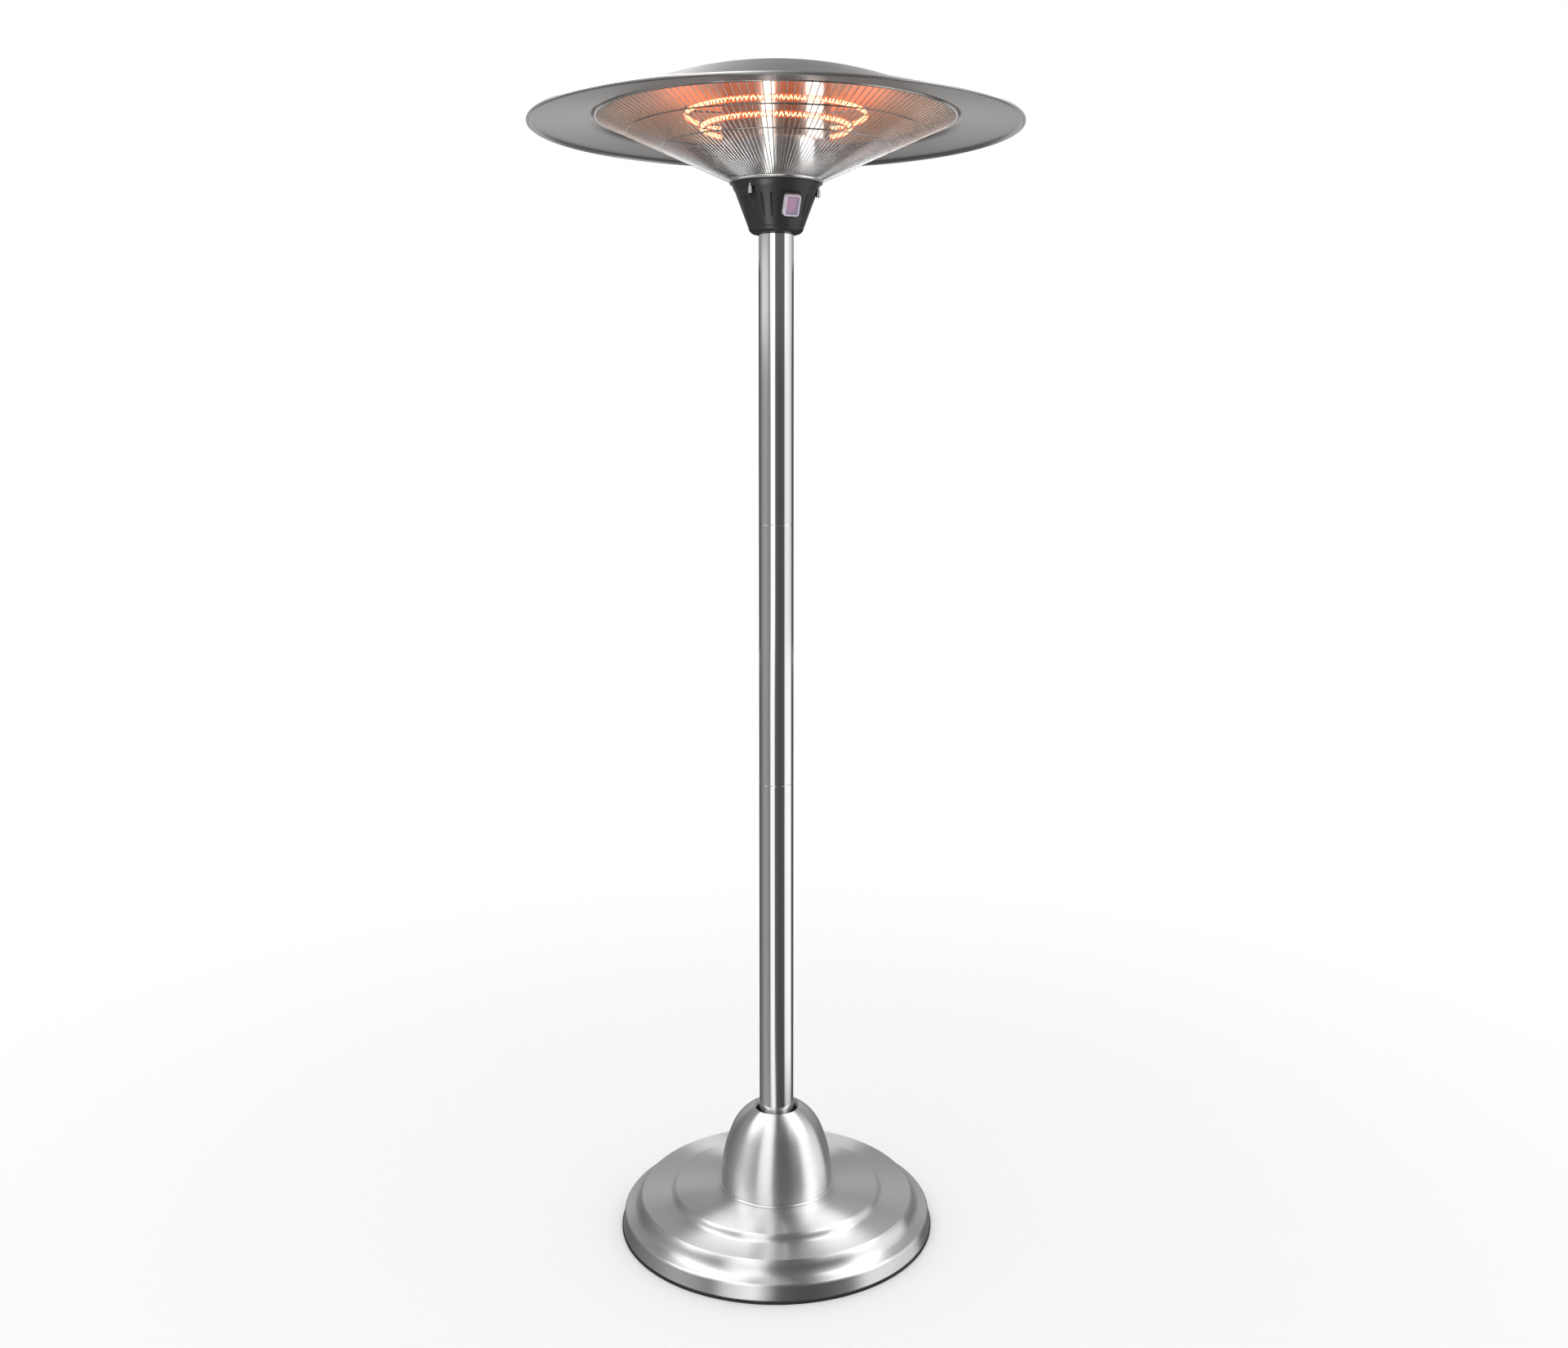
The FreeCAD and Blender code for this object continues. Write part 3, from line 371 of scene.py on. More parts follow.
def thickened(outline, wall):
    """A sheet: the outline and the same line moved inward, joined into one closed loop."""
    inner = []
    for index, point in enumerate(outline):
        ahead = Vector(outline[min(index + 1, len(outline) - 1)])
        behind = Vector(outline[max(index - 1, 0)])
        side = (ahead - behind).normalized()
        inner.append((point[0] - side.y * wall, point[1] + side.x * wall))
    return outline + inner[::-1]


square = [(1.0, 0.0), (2.0, 0.0), (2.0, 1.0), (1.0, 1.0)]
print("corners of a square:", len(square), "softened:", len(softened(square, 0.1)))

# %% Sweep an outline into a mesh
CREASE, CUP_CREASE, SOFT_CREASE = 40.0, 35.0, 50.0


def smooth_mesh(name, points, faces, angle=CREASE):
    """A mesh with soft shading and creases only at sharp edges."""
    mesh = bpy.data.meshes.new(name)
    mesh.from_pydata(points, [], faces)
    mesh.update()
    mesh.shade_smooth()
    mesh.set_sharp_from_angle(angle=math.radians(angle))
    return mesh


def turned_mesh(name, outline, segments, carve=None):
    """The closed outline swept once around the Z axis; carve may change a radius by angle."""
    area = sum(a[0] * b[1] - b[0] * a[1] for a, b in zip(outline, outline[1:] + outline[:1]))
    points, faces, rows = [], [], []
    for radius, level in outline if area > 0 else outline[::-1]:
        if radius < TINY:
            rows.append([len(points)] * segments)
            points.append((0.0, 0.0, level))
            continue
        rows.append(list(range(len(points), len(points) + segments)))
        for index in range(segments):
            angle = TURN * index / segments
            here = carve(angle, radius, level) if carve else radius
            points.append((here * math.cos(angle), here * math.sin(angle), level))
    for row, upper in zip(rows, rows[1:] + rows[:1]):
        for index in range(segments):
            after = (index + 1) % segments
            loop = list(dict.fromkeys((row[index], row[after], upper[after], upper[index])))
            if len(loop) > 2:
                faces.append(loop)
    return smooth_mesh(name, points, faces)


def set_down(name, mesh, finish, *nodes, body="stand", slot=None):
    """Puts a finished mesh on its body, in place of the CAD nodes it stands for."""
    piece = bpy.data.objects.new(name, mesh)
    bpy.context.scene.collection.objects.link(piece)
    mesh.materials.clear()
    mesh.materials.append(finishes[finish])
    slot = slot or finish
    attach(piece, body)
    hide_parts(*nodes)
    print(name, "faces:", len(mesh.polygons), "stands for", nodes)
    return piece


def turned_piece(name, outline, finish, *nodes, segments=160, **more):
    """A piece that is swept from an outline and set down at once."""
    return set_down(name, turned_mesh(name, outline, segments), finish, *nodes, **more)


print("edges stay sharp above", CREASE, "degrees")

# %% [markdown]
# ## The foot: rubber edge and stepped cover
#
# The cover is one sheet of steel pressed over a form: an upright lip, a soft step, a broad
# tread, a lower step and a flat deck. A strip of rubber is pushed on its bottom edge so the
# floor isn't scratched.

# %% Rubber edge
RUBBER_WIDTH, RUBBER_EDGE = 4.6 * MM, 0.8 * MM
rubber_line = square_ring("rubber_edge", reach("rubber_edge") - RUBBER_WIDTH, RUBBER_EDGE)
turned_piece("rubber_trim", rubber_line, "black_rubber", "rubber_edge")

# %% Stepped cover
cover_low, deck = low("base_cover"), high("base_cover")
lip = reach("base_cover")
COVER_WALL, DECK_EDGE, DECK_HOLE = 1.2 * MM, 105.0 * MM, 12.0 * MM
lip_top = (lip - 3.3 * MM, cover_low + 21.9 * MM)
lip_round_end = (lip - 8.3 * MM, cover_low + 26.9 * MM)
first_toe, first_top = (lip - 20.3 * MM, 32.5 * MM), (lip - 33.3 * MM, 53.5 * MM)
second_toe, second_top = (lip - 80.3 * MM, 53.5 * MM), (lip - 91.3 * MM, 65.0 * MM)


def soft_step(toe, top, curve):
    """An S-shaped rise: hollow at the toe, rounded at the top."""
    middle = ((toe[0] + top[0]) / 2, (toe[1] + top[1]) / 2)
    return bow(toe, middle, -curve, 8)[:-1] + bow(middle, top, curve, 8)


cover_line = ([(lip, cover_low), lip_top] + bow(lip_top, lip_round_end, 5.0 * MM, 8)[1:]
              + soft_step(first_toe, first_top, 18.0 * MM) + soft_step(second_toe, second_top, 9.0 * MM)
              + [(DECK_EDGE, deck), (DECK_HOLE, deck)])
turned_piece("stepped_cover", thickened(cover_line, COVER_WALL), "brushed_steel", "base_cover",
             segments=256, slot="polished_steel")

# %% [markdown]
# ## The bell
#
# A loose bell hides the bolted joint at the pole's foot. It is spun from one disc, has a
# small bead at its foot, a mouth turned in towards the pole, and can be lifted up the pole
# to reach the bolts.

# %% Spin the bell
bell_low, bell_high = low("bell_cover"), high("bell_cover")
bell_foot = reach("bell_cover")
bell_wall_radius = bell_foot - 2.1 * MM
bell_waist, bell_mouth = (76.9 * MM, bell_low + 95.0 * MM), (39.0 * MM, bell_high)
bell_sheet, bead_top = 1.2 * MM, bell_low + 4.0 * MM
groove = bell_wall_radius - 0.8 * MM
bead_line = [(bell_foot - 0.5 * MM, bell_low), (bell_foot, bell_low + 0.6 * MM),
             (bell_foot, bead_top - 1.2 * MM), (bell_foot - 0.7 * MM, bead_top - 0.4 * MM),
             (groove, bead_top), (groove, bead_top + 0.8 * MM)]
wall_line = (bow((bell_wall_radius, bead_top + 1.4 * MM), bell_waist, 222.0 * MM, 24)
             + bow(bell_waist, bell_mouth, 78.0 * MM, 24)[1:])
KEPT_WALL = -2
mouth_corner, mouth_throat = (38.4 * MM, bell_high), (36.6 * MM, bell_high - 3.6 * MM)
wall_line = (wall_line[:KEPT_WALL] + rounded(wall_line[KEPT_WALL], mouth_corner, mouth_throat, 8)
             + [(35.2 * MM, bell_high - 9.0 * MM)])
plain_line = [(bell_wall_radius, bell_low)] + wall_line
inside_line = thickened(plain_line, bell_sheet)[len(plain_line):]
bell_line = [(min(radius, bell_foot), level) for radius, level in bead_line + wall_line + inside_line]
turned_piece("spun_bell", bell_line, "brushed_steel", "bell_cover", segments=256, body="bell",
             slot="polished_steel")

# %% [markdown]
# ## The pole
#
# Three lengths of tube are plugged end to end over sleeves. Each end is lightly broken
# with a file, which leaves the fine ring that shows where the lengths meet.

# %% Turn the three tubes
TUBE_WALL, TUBE_EDGE = 1.5 * MM, 0.9 * MM
for node in ("lower_pole", "middle_pole", "upper_pole"):
    tube_line = square_ring(node, reach(node) - TUBE_WALL, TUBE_EDGE)
    turned_piece("polished_" + node, tube_line, "polished_steel", node, segments=192)

# %% [markdown]
# ## The switch housing
#
# A black moulded cup sits on the pole. Shallow flutes give the fingers a grip, three
# scallops leave room for the screws, and a flat pad carries the rocker switch.

# %% Cut flutes and scallops into the cup's wall
cup_low, cup_high = low("switch_housing"), high("switch_housing")
waist, shoulder, band = 45.3 * MM, 67.9 * MM, 72.6 * MM
wall_low, wall_high = cup_low + 10.2 * MM, cup_low + 70.2 * MM
SWITCH_ANGLE = math.radians(23.4 - 90.0)
FLUTES, FLUTE_RADIUS, FLUTE_DEPTH, FLUTE_EDGE = 24, 1.9 * MM, 1.3 * MM, 0.5 * MM
FLUTE_LOW, FLUTE_HIGH = cup_low + 25.0 * MM, cup_low + 58.0 * MM
FLUTE_SHALLOW, FLUTE_DEEPER = 0.7, 1.4
SLEEVES, SLEEVE_CIRCLE = 3, 68.6 * MM
SCALLOP_HALF_WIDTH, SCALLOP_DEPTH, SCALLOP_EDGE = 7.2 * MM, 11.0 * MM, 0.9 * MM
SLACK = 1e-6


def angle_between(first, second):
    return (first - second + math.pi) % TURN - math.pi


def from_sleeve(angle):
    """The angle to the nearest sleeve screw."""
    half = TURN / SLEEVES / 2
    return (angle_between(angle, SWITCH_ANGLE + half) + half) % (2 * half) - half


def soft_cut(radius, cut, edge):
    """The smaller of two radii, with the edge between them rounded."""
    share = max(edge - abs(radius - cut), 0.0) / edge
    return min(radius, cut) - share * share * edge / 4


def carved_wall(angle, radius, level):
    """The cup's radius at an angle and level, with flutes and scallops taken away."""
    if not wall_low < level < wall_high + SLACK or not waist - SLACK <= radius <= shoulder + SLACK:
        return radius
    step = TURN / FLUTES
    near = round(angle_between(angle, SWITCH_ANGLE) / step)
    flute_at = SWITCH_ANGLE + near * step
    if abs(near) > 1 and abs(from_sleeve(flute_at)) > step * 0.5:
        beyond = max(FLUTE_LOW + FLUTE_RADIUS / 2 - level, level - FLUTE_HIGH + FLUTE_RADIUS / 2, 0.0)
        off = math.hypot(radius * angle_between(angle, flute_at), beyond)
        deepening = FLUTE_SHALLOW + FLUTE_DEEPER * (level - FLUTE_LOW) / (FLUTE_HIGH - FLUTE_LOW)
        floor = math.sqrt(max(FLUTE_RADIUS ** 2 - off ** 2, 0.0)) - (FLUTE_RADIUS - FLUTE_DEPTH)
        if off < FLUTE_RADIUS * 1.5:
            radius = soft_cut(radius, radius - floor * deepening, FLUTE_EDGE)
    aside = SLEEVE_CIRCLE * math.sin(from_sleeve(angle)) / SCALLOP_HALF_WIDTH
    if abs(aside) < 1.0:
        radius = soft_cut(radius, SLEEVE_CIRCLE - SCALLOP_DEPTH * math.sqrt(1.0 - aside ** 2), SCALLOP_EDGE)
    return radius


WALL_ROWS, CUP_SEGMENTS, CUP_HOLE = 44, 960, 30.0 * MM
wall_rows = [(waist + (shoulder - waist) * i / WALL_ROWS, wall_low + (wall_high - wall_low) * i / WALL_ROWS)
             for i in range(WALL_ROWS + 1)]
band_line = [(shoulder + 0.9 * MM, wall_high + 0.1 * MM), (shoulder + 1.2 * MM, wall_high + 0.6 * MM),
             (band - 0.5 * MM, cup_high - 1.6 * MM), (band, cup_high - 1.0 * MM),
             (band - 0.2 * MM, cup_high - 0.3 * MM), (band - 0.8 * MM, cup_high)]
hollow_line = [(54.0 * MM, cup_high), (41.0 * MM, cup_low + 14.0 * MM), (CUP_HOLE, cup_low + 4.0 * MM)]
cup_line = ([(CUP_HOLE, cup_low)] + bow((34.5 * MM, cup_low), wall_rows[0], 11.0 * MM, 8)[:-1] + wall_rows
            + band_line + hollow_line)
cup_mesh = turned_mesh("fluted_cup", cup_line, CUP_SEGMENTS, carved_wall)
print("cup faces:", len(cup_mesh.polygons))

# %% [markdown]
# The pad is a flat block with rounded corners that grows out of the cup's sloping wall.
# It is joined to the cup, because both come out of the same mould.

# %% The switch pad
def rounded_block(width, length, corner, rings, place, steps=6):
    """Points and faces of a block with round corners, built from rings of inset and rise."""
    points = []
    for inset, rise in rings:
        for quarter in range(4):
            middle_x = (width / 2 - corner) * (1 if quarter in (0, 3) else -1)
            middle_y = (length / 2 - corner) * (1 if quarter in (0, 1) else -1)
            for step in range(steps + 1):
                angle = TURN / 4 * (quarter + step / steps)
                points.append(place(middle_x + (corner - inset) * math.cos(angle),
                                    middle_y + (corner - inset) * math.sin(angle), rise))
    count = 4 * (steps + 1)
    faces = [list(range(count))[::-1], list(range(count * (len(rings) - 1), count * len(rings)))]
    for row in range(len(rings) - 1):
        for index in range(count):
            after = (index + 1) % count
            faces.append([row * count + index, row * count + after,
                          (row + 1) * count + after, (row + 1) * count + index])
    return points, faces


lean = math.atan2(shoulder - waist, wall_high - wall_low)
outward = Vector((math.cos(SWITCH_ANGLE), math.sin(SWITCH_ANGLE), 0.0))
pad_normal = outward * math.cos(lean) - Vector((0.0, 0.0, math.sin(lean)))
pad_up = outward * math.sin(lean) + Vector((0.0, 0.0, math.cos(lean)))
pad_side = pad_up.cross(pad_normal)
switch_level = cup_low + 41.4 * MM
switch_reach = waist + (shoulder - waist) * (switch_level - wall_low) / (wall_high - wall_low)
PAD_WIDTH, PAD_LENGTH, PAD_CORNER = 32.0 * MM, 41.0 * MM, 2.4 * MM
PAD_RISE, PAD_DEPTH, PAD_EDGE = 1.6 * MM, 6.5 * MM, 0.7 * MM
pad_centre = outward * switch_reach + Vector((0.0, 0.0, switch_level)) + pad_normal * PAD_RISE


def on_pad(side, up, rise):
    """A place on the pad's face."""
    return tuple(pad_centre + pad_side * side + pad_up * up + pad_normal * rise)


pad_points, pad_faces = rounded_block(PAD_WIDTH, PAD_LENGTH, PAD_CORNER, [
    (0.0, -PAD_DEPTH), (0.0, -PAD_EDGE), (PAD_EDGE * 0.3, -PAD_EDGE * 0.3), (PAD_EDGE, 0.0)], on_pad)
first = len(cup_mesh.vertices)
all_points = [tuple(vertex.co) for vertex in cup_mesh.vertices] + pad_points
all_faces = ([list(face.vertices) for face in cup_mesh.polygons]
             + [[first + index for index in face] for face in pad_faces])
cup_mesh = smooth_mesh("switch_cup", all_points, all_faces, CUP_CREASE)
set_down("switch_cup", cup_mesh, "black_moulding", "switch_housing")

# %% [markdown]
# ## The cap over the switch
#
# Outdoors a rocker switch needs a splash cap. It is one soft shell: a milky frame that
# grips the switch and a thin clear window that is pressed with the finger.

# %% Mould the cap
CAP_WIDTH, CAP_LENGTH, CAP_CORNER, CAP_HIGH = 26.4 * MM, 34.4 * MM, 4.4 * MM, 9.4 * MM
CAP_WALL, CAP_FRAME = 0.8 * MM, 2.3 * MM
cap_rings = [(CAP_FRAME + 0.4 * MM, CAP_HIGH - 0.9 * MM), (CAP_WALL + 0.4 * MM, CAP_HIGH - 0.9 * MM),
             (CAP_WALL, CAP_HIGH - 1.6 * MM), (CAP_WALL, 0.0), (0.0, 0.0), (0.0, CAP_HIGH - 1.2 * MM),
             (0.35 * MM, CAP_HIGH - 0.35 * MM), (1.2 * MM, CAP_HIGH), (CAP_FRAME, CAP_HIGH),
             (CAP_FRAME + 0.4 * MM, CAP_HIGH - 0.3 * MM)]
cap_points, cap_faces = rounded_block(CAP_WIDTH, CAP_LENGTH, CAP_CORNER, cap_rings, on_pad)
cap_mesh = smooth_mesh("switch_cap", cap_points, cap_faces, SOFT_CREASE)
in_window = len(cap_points) // len(cap_rings)
clear = cap_mesh.attributes.new("clearness", "FLOAT", "POINT")
for index, entry in enumerate(clear.data):
    entry.value = 1.0 if index < in_window or index >= len(cap_points) - in_window else 0.0
set_down("switch_cap", cap_mesh, "clear_silicone", "rocker_seal")

# %% [markdown]
# ## Column, drum and plates of the head
#
# A stack of thin spun cans carries the lamps and the hat. The column plugs on the plate,
# the drum sits on the column, and its lid takes the screws of the hat.

# %% Spin the stack
PLATE_HOLE, COLUMN_HOLE, DRUM_HOLE = 15.0 * MM, 51.0 * MM, 58.0 * MM
PLATE_EDGE, CAN_WALL, CAN_EDGE = 0.5 * MM, 1.2 * MM, 0.9 * MM
plate_line = square_ring("support_plate", PLATE_HOLE, PLATE_EDGE)
turned_piece("head_plate", plate_line, "zinc_steel", "support_plate")


def can_line(node, hole):
    """A spun can with a floor that has a hole, open at the top."""
    bottom, top, outer = low(node), high(node), reach(node)
    return softened([(hole, bottom), (outer, bottom), (outer, top), (outer - CAN_WALL, top),
                     (outer - CAN_WALL, bottom + CAN_WALL), (hole, bottom + CAN_WALL)], CAN_EDGE)


turned_piece("lamp_column", can_line("lower_column", COLUMN_HOLE), "reflector_aluminium", "lower_column")
# The drum's finish carries painted lamp light: a warm tint and a glow.
turned_piece("lamp_drum", can_line("upper_drum", DRUM_HOLE), "aluminium_with_painted_glow", "upper_drum",
             slot="reflector_aluminium")

# %% [markdown]
# ## Reflector and hat
#
# The inner reflector is a shallow dish right above the lamps. The hat is spun in one piece:
# a domed crown, a rounded shoulder, a broad brim and an edge rolled under so it is safe to
# touch and stiff. The dish and the lamps are left out of mirror images, so that their
# orange doesn't cover the bright wires.

# %% Spin the reflector
CROWN_CURVE = 616.0 * MM


def crown_fall(radius):
    return CROWN_CURVE - math.sqrt(CROWN_CURVE ** 2 - radius ** 2)


dish_low, dish_edge = high("drum_lid"), reach("inner_reflector")
dish_flat, dish_wall = 95.0 * MM, 0.8 * MM
dish_drop = dish_low + crown_fall(dish_flat) - crown_fall(dish_edge)
dish_line = ([(0.0, dish_low)] + bow((dish_flat, dish_low), (dish_edge, dish_drop), -CROWN_CURVE, 28)
             + bow((dish_edge, dish_drop + dish_wall), (dish_flat, dish_low + dish_wall), CROWN_CURVE, 28)
             + [(0.0, dish_low + dish_wall)])
# The dish's finish is painted with the lamps' warm light.
dish_piece = turned_piece("lamp_reflector", dish_line, "reflector_painted_warm", "inner_reflector",
                          slot="reflector_aluminium")
dish_piece.visible_glossy = False

# %% Spin the hat
rim_low, rim_out = low("shade"), reach("shade")
crown_top = high("shade")
shoulder_in, shoulder_out = 290.0 * MM, 301.2 * MM
shoulder_top = crown_top - crown_fall(shoulder_in)
brim_start = (shoulder_out, shoulder_top - 10.6 * MM)
ROLL, HAT_SHEET, SHOULDER_CURVE = 3.0 * MM, 1.2 * MM, 30.0 * MM
BRIM_STEPS, ROLL_STEPS, KEPT_SHOULDER, ROUND_END = 24, 14, 6, 4
brim_end = (rim_out - ROLL, rim_low + 2 * ROLL)
brim_line = [(brim_start[0] + (brim_end[0] - brim_start[0]) * i / BRIM_STEPS,
              brim_start[1] + (brim_end[1] - brim_start[1]) * i / BRIM_STEPS) for i in range(BRIM_STEPS + 1)]
crown_line = bow((0.0, crown_top), (shoulder_in, shoulder_top), -CROWN_CURVE, 40)
shoulder_line = bow((shoulder_in, shoulder_top), brim_start, -SHOULDER_CURVE, 10)
roll_line = [(rim_out - ROLL + ROLL * math.sin(angle), rim_low + ROLL + ROLL * math.cos(angle))
             for angle in [math.pi * i / ROLL_STEPS for i in range(ROLL_STEPS + 1)]]
hat_line = (crown_line + shoulder_line[1:KEPT_SHOULDER]
            + rounded(shoulder_line[KEPT_SHOULDER], brim_start, brim_line[ROUND_END], 10)
            + brim_line[ROUND_END + 1:])
hat_under = [(brim_end[0] - 0.6 * MM, rim_low + 0.8 * MM), (brim_end[0] - 1.4 * MM, rim_low + 2.6 * MM)]
hat_under += [(radius, level - HAT_SHEET) for radius, level in hat_line[::-1][1:]]
turned_piece("spun_hat", hat_line + roll_line[1:] + hat_under, "shade_aluminium", "shade", segments=256)

# %% [markdown]
# ## The wire guard
#
# The guard is welded from straight wires laid on rings. The rule is short: the same wire,
# turned a little further each time. A node tree repeats it, and the mesh is kept as plain
# geometry afterwards.

# %% A tree that repeats one rod around the axis
SOCKETS = {int: "NodeSocketInt", float: "NodeSocketFloat", tuple: "NodeSocketVector",
           type(None): "NodeSocketGeometry"}


def node_tree(name, inputs):
    """A new tree with named inputs; the kind of each follows from its value."""
    tree = bpy.data.node_groups.new(name, "GeometryNodeTree")
    for socket, value in inputs.items():
        item = tree.interface.new_socket(socket, in_out="INPUT", socket_type=SOCKETS[type(value)])
        if value is not None:
            item.default_value = value
    tree.interface.new_socket("Geometry", in_out="OUTPUT", socket_type="NodeSocketGeometry")
    entry = tree.nodes.new("NodeGroupInput")
    return tree, {socket.name: Signal(tree, socket) for socket in entry.outputs if socket.name}


def close_tree(tree, geometry):
    """Ends a tree with real geometry and a material."""
    geometry = Signal.of(tree, "GeometryNodeRealizeInstances", {}, {0: geometry})
    geometry = Signal.of(tree, "GeometryNodeSetMaterial", {},
                         {"Geometry": geometry, "Material": finishes["chromed_wire"]})
    geometry.into(tree.nodes.new("NodeGroupOutput"), 0)


def about_axis(tree, geometry, count, first_angle):
    """The same geometry repeated at even angles around the Z axis."""
    angle = first_angle + Signal.of(tree, "GeometryNodeInputIndex") * (TURN / count)
    turn = Signal.of(tree, "ShaderNodeCombineXYZ", {}, {"Z": angle})
    turn = Signal.of(tree, "FunctionNodeEulerToRotation", {}, {0: turn})
    points = Signal.of(tree, "GeometryNodePoints", {}, {"Count": count})
    return Signal.of(tree, "GeometryNodeInstanceOnPoints", {},
                     {"Points": points, "Instance": geometry, "Rotation": turn})


def tube_along(tree, curve, radius, sides):
    """A curve made into a round wire with closed ends."""
    ring = Signal.of(tree, "GeometryNodeCurvePrimitiveCircle", {}, {"Resolution": sides, "Radius": radius})
    return Signal.of(tree, "GeometryNodeCurveToMesh", {},
                     {"Curve": curve, "Profile Curve": ring, "Fill Caps": True})


def grown(name, tree, start=None, **values):
    """The plain mesh that a tree makes with these inputs, from a starting mesh if it needs one."""
    seed = bpy.data.objects.new(name, start or bpy.data.meshes.new(name + "_seed"))
    bpy.context.scene.collection.objects.link(seed)
    rule = seed.modifiers.new(name, "NODES")
    rule.node_group = tree
    for item in tree.interface.items_tree:
        if item.in_out == "INPUT" and item.name in values:
            rule[item.identifier] = values[item.name]
    seed.update_tag()
    graph = bpy.context.evaluated_depsgraph_get()
    mesh = bpy.data.meshes.new_from_object(seed.evaluated_get(graph))
    mesh.name = name
    seed.modifiers.clear()
    bpy.data.objects.remove(seed)
    mesh.shade_smooth()
    mesh.set_sharp_from_angle(angle=math.radians(SOFT_CREASE))
    return mesh


ROD_SIDES, NOWHERE = 8, (0.0, 0.0, 0.0)
rod_tree, given = node_tree("rods_about_axis", {
    "Count": 150, "Start": NOWHERE, "End": NOWHERE, "Radius": 0.001, "First Angle": 0.0})
rod_line = Signal.of(rod_tree, "GeometryNodeCurvePrimitiveLine", {},
                     {"Start": given["Start"], "End": given["End"]})
rod = tube_along(rod_tree, rod_line, given["Radius"], ROD_SIDES)
close_tree(rod_tree, about_axis(rod_tree, rod, given["Count"], given["First Angle"]))
print("rod tree nodes:", len(rod_tree.nodes))

# %% Lay the wires
WIRES, WIRE_RADIUS = 150, 0.9 * MM
BOTTOM_WIRE, HOOP_WIRE, TOP_WIRE = 2.0 * MM, 1.2 * MM, 2.2 * MM


def middle(node):
    """The level halfway up a node."""
    return (low(node) + high(node)) / 2


wire_start = (reach("guard_bottom_ring") - BOTTOM_WIRE, 0.0, middle("guard_bottom_ring"))
wire_end = (reach("guard_top_ring") - TOP_WIRE, 0.0, middle("guard_top_ring"))
wires = grown("guard_rods", rod_tree, Count=WIRES, Start=wire_start, End=wire_end, Radius=WIRE_RADIUS)
# The guard's rods carry the painted warm shade near the lamps.
set_down("guard_rods", wires, "wire_with_painted_warm_shade", "guard_wires", slot="chromed_wire")

# %% Bend the rings and hoops
def ring_outline(radius, level, wire, steps=14):
    return [(radius + wire * math.cos(TURN * i / steps), level + wire * math.sin(TURN * i / steps))
            for i in range(steps)]


# The two hoops take the wire finish with painted warm shade near the lamps.
for node, wire, finish in (("guard_bottom_ring", BOTTOM_WIRE, "chromed_wire"),
                           ("guard_inner_hoop", HOOP_WIRE, "wire_with_painted_warm_shade"),
                           ("guard_outer_hoop", HOOP_WIRE, "wire_with_painted_warm_shade"),
                           ("guard_top_ring", TOP_WIRE, "chromed_wire")):
    hoop_line = ring_outline(reach(node) - wire, middle(node), wire)
    turned_piece("bent_" + node, hoop_line, finish, node, segments=192, slot="chromed_wire")

# %% [markdown]
# ## Two ring lamps
#
# Each lamp is a quartz tube bent into a ring with a gap at the back, where its ends sit in
# ceramic blocks. Inside runs a coil of resistance wire, and its turns show as a row of
# bright beads. A rule places every point of the coil: round the lamp's ring and, at the
# same time, round the tube's middle.

# %% A tree that winds a coil along an open ring
coil_tree, given = node_tree("coil_on_ring", {
    "Ring Radius": 0.1, "Level": 0.0, "Half Gap": 0.3, "Turns": 100.0, "Points": 1000, "Coil Radius": 0.002,
    "Wire Radius": 0.001, "Sides": 5})
share = Signal.of(coil_tree, "GeometryNodeInputIndex") / (given["Points"] - 1.0)
around = TURN / 4 + given["Half Gap"] + share * (TURN - given["Half Gap"] * 2.0)
winding = share * given["Turns"] * TURN


def wave(operation, angle):
    return Signal.of(coil_tree, "ShaderNodeMath", {"operation": operation}, {0: angle})


swing = given["Ring Radius"] + given["Coil Radius"] * wave("COSINE", winding)
coil_place = Signal.of(coil_tree, "ShaderNodeCombineXYZ", {}, {
    "X": swing * wave("COSINE", around), "Y": swing * wave("SINE", around),
    "Z": given["Level"] + given["Coil Radius"] * wave("SINE", winding)})
coil_line = Signal.of(coil_tree, "GeometryNodeMeshLine", {}, {"Count": given["Points"]})
coil_line = Signal.of(coil_tree, "GeometryNodeSetPosition", {},
                      {"Geometry": coil_line, "Position": coil_place})
coil_line = Signal.of(coil_tree, "GeometryNodeMeshToCurve", {}, {0: coil_line})
close_tree(coil_tree, tube_along(coil_tree, coil_line, given["Wire Radius"], given["Sides"]))
print("coil tree nodes:", len(coil_tree.nodes))

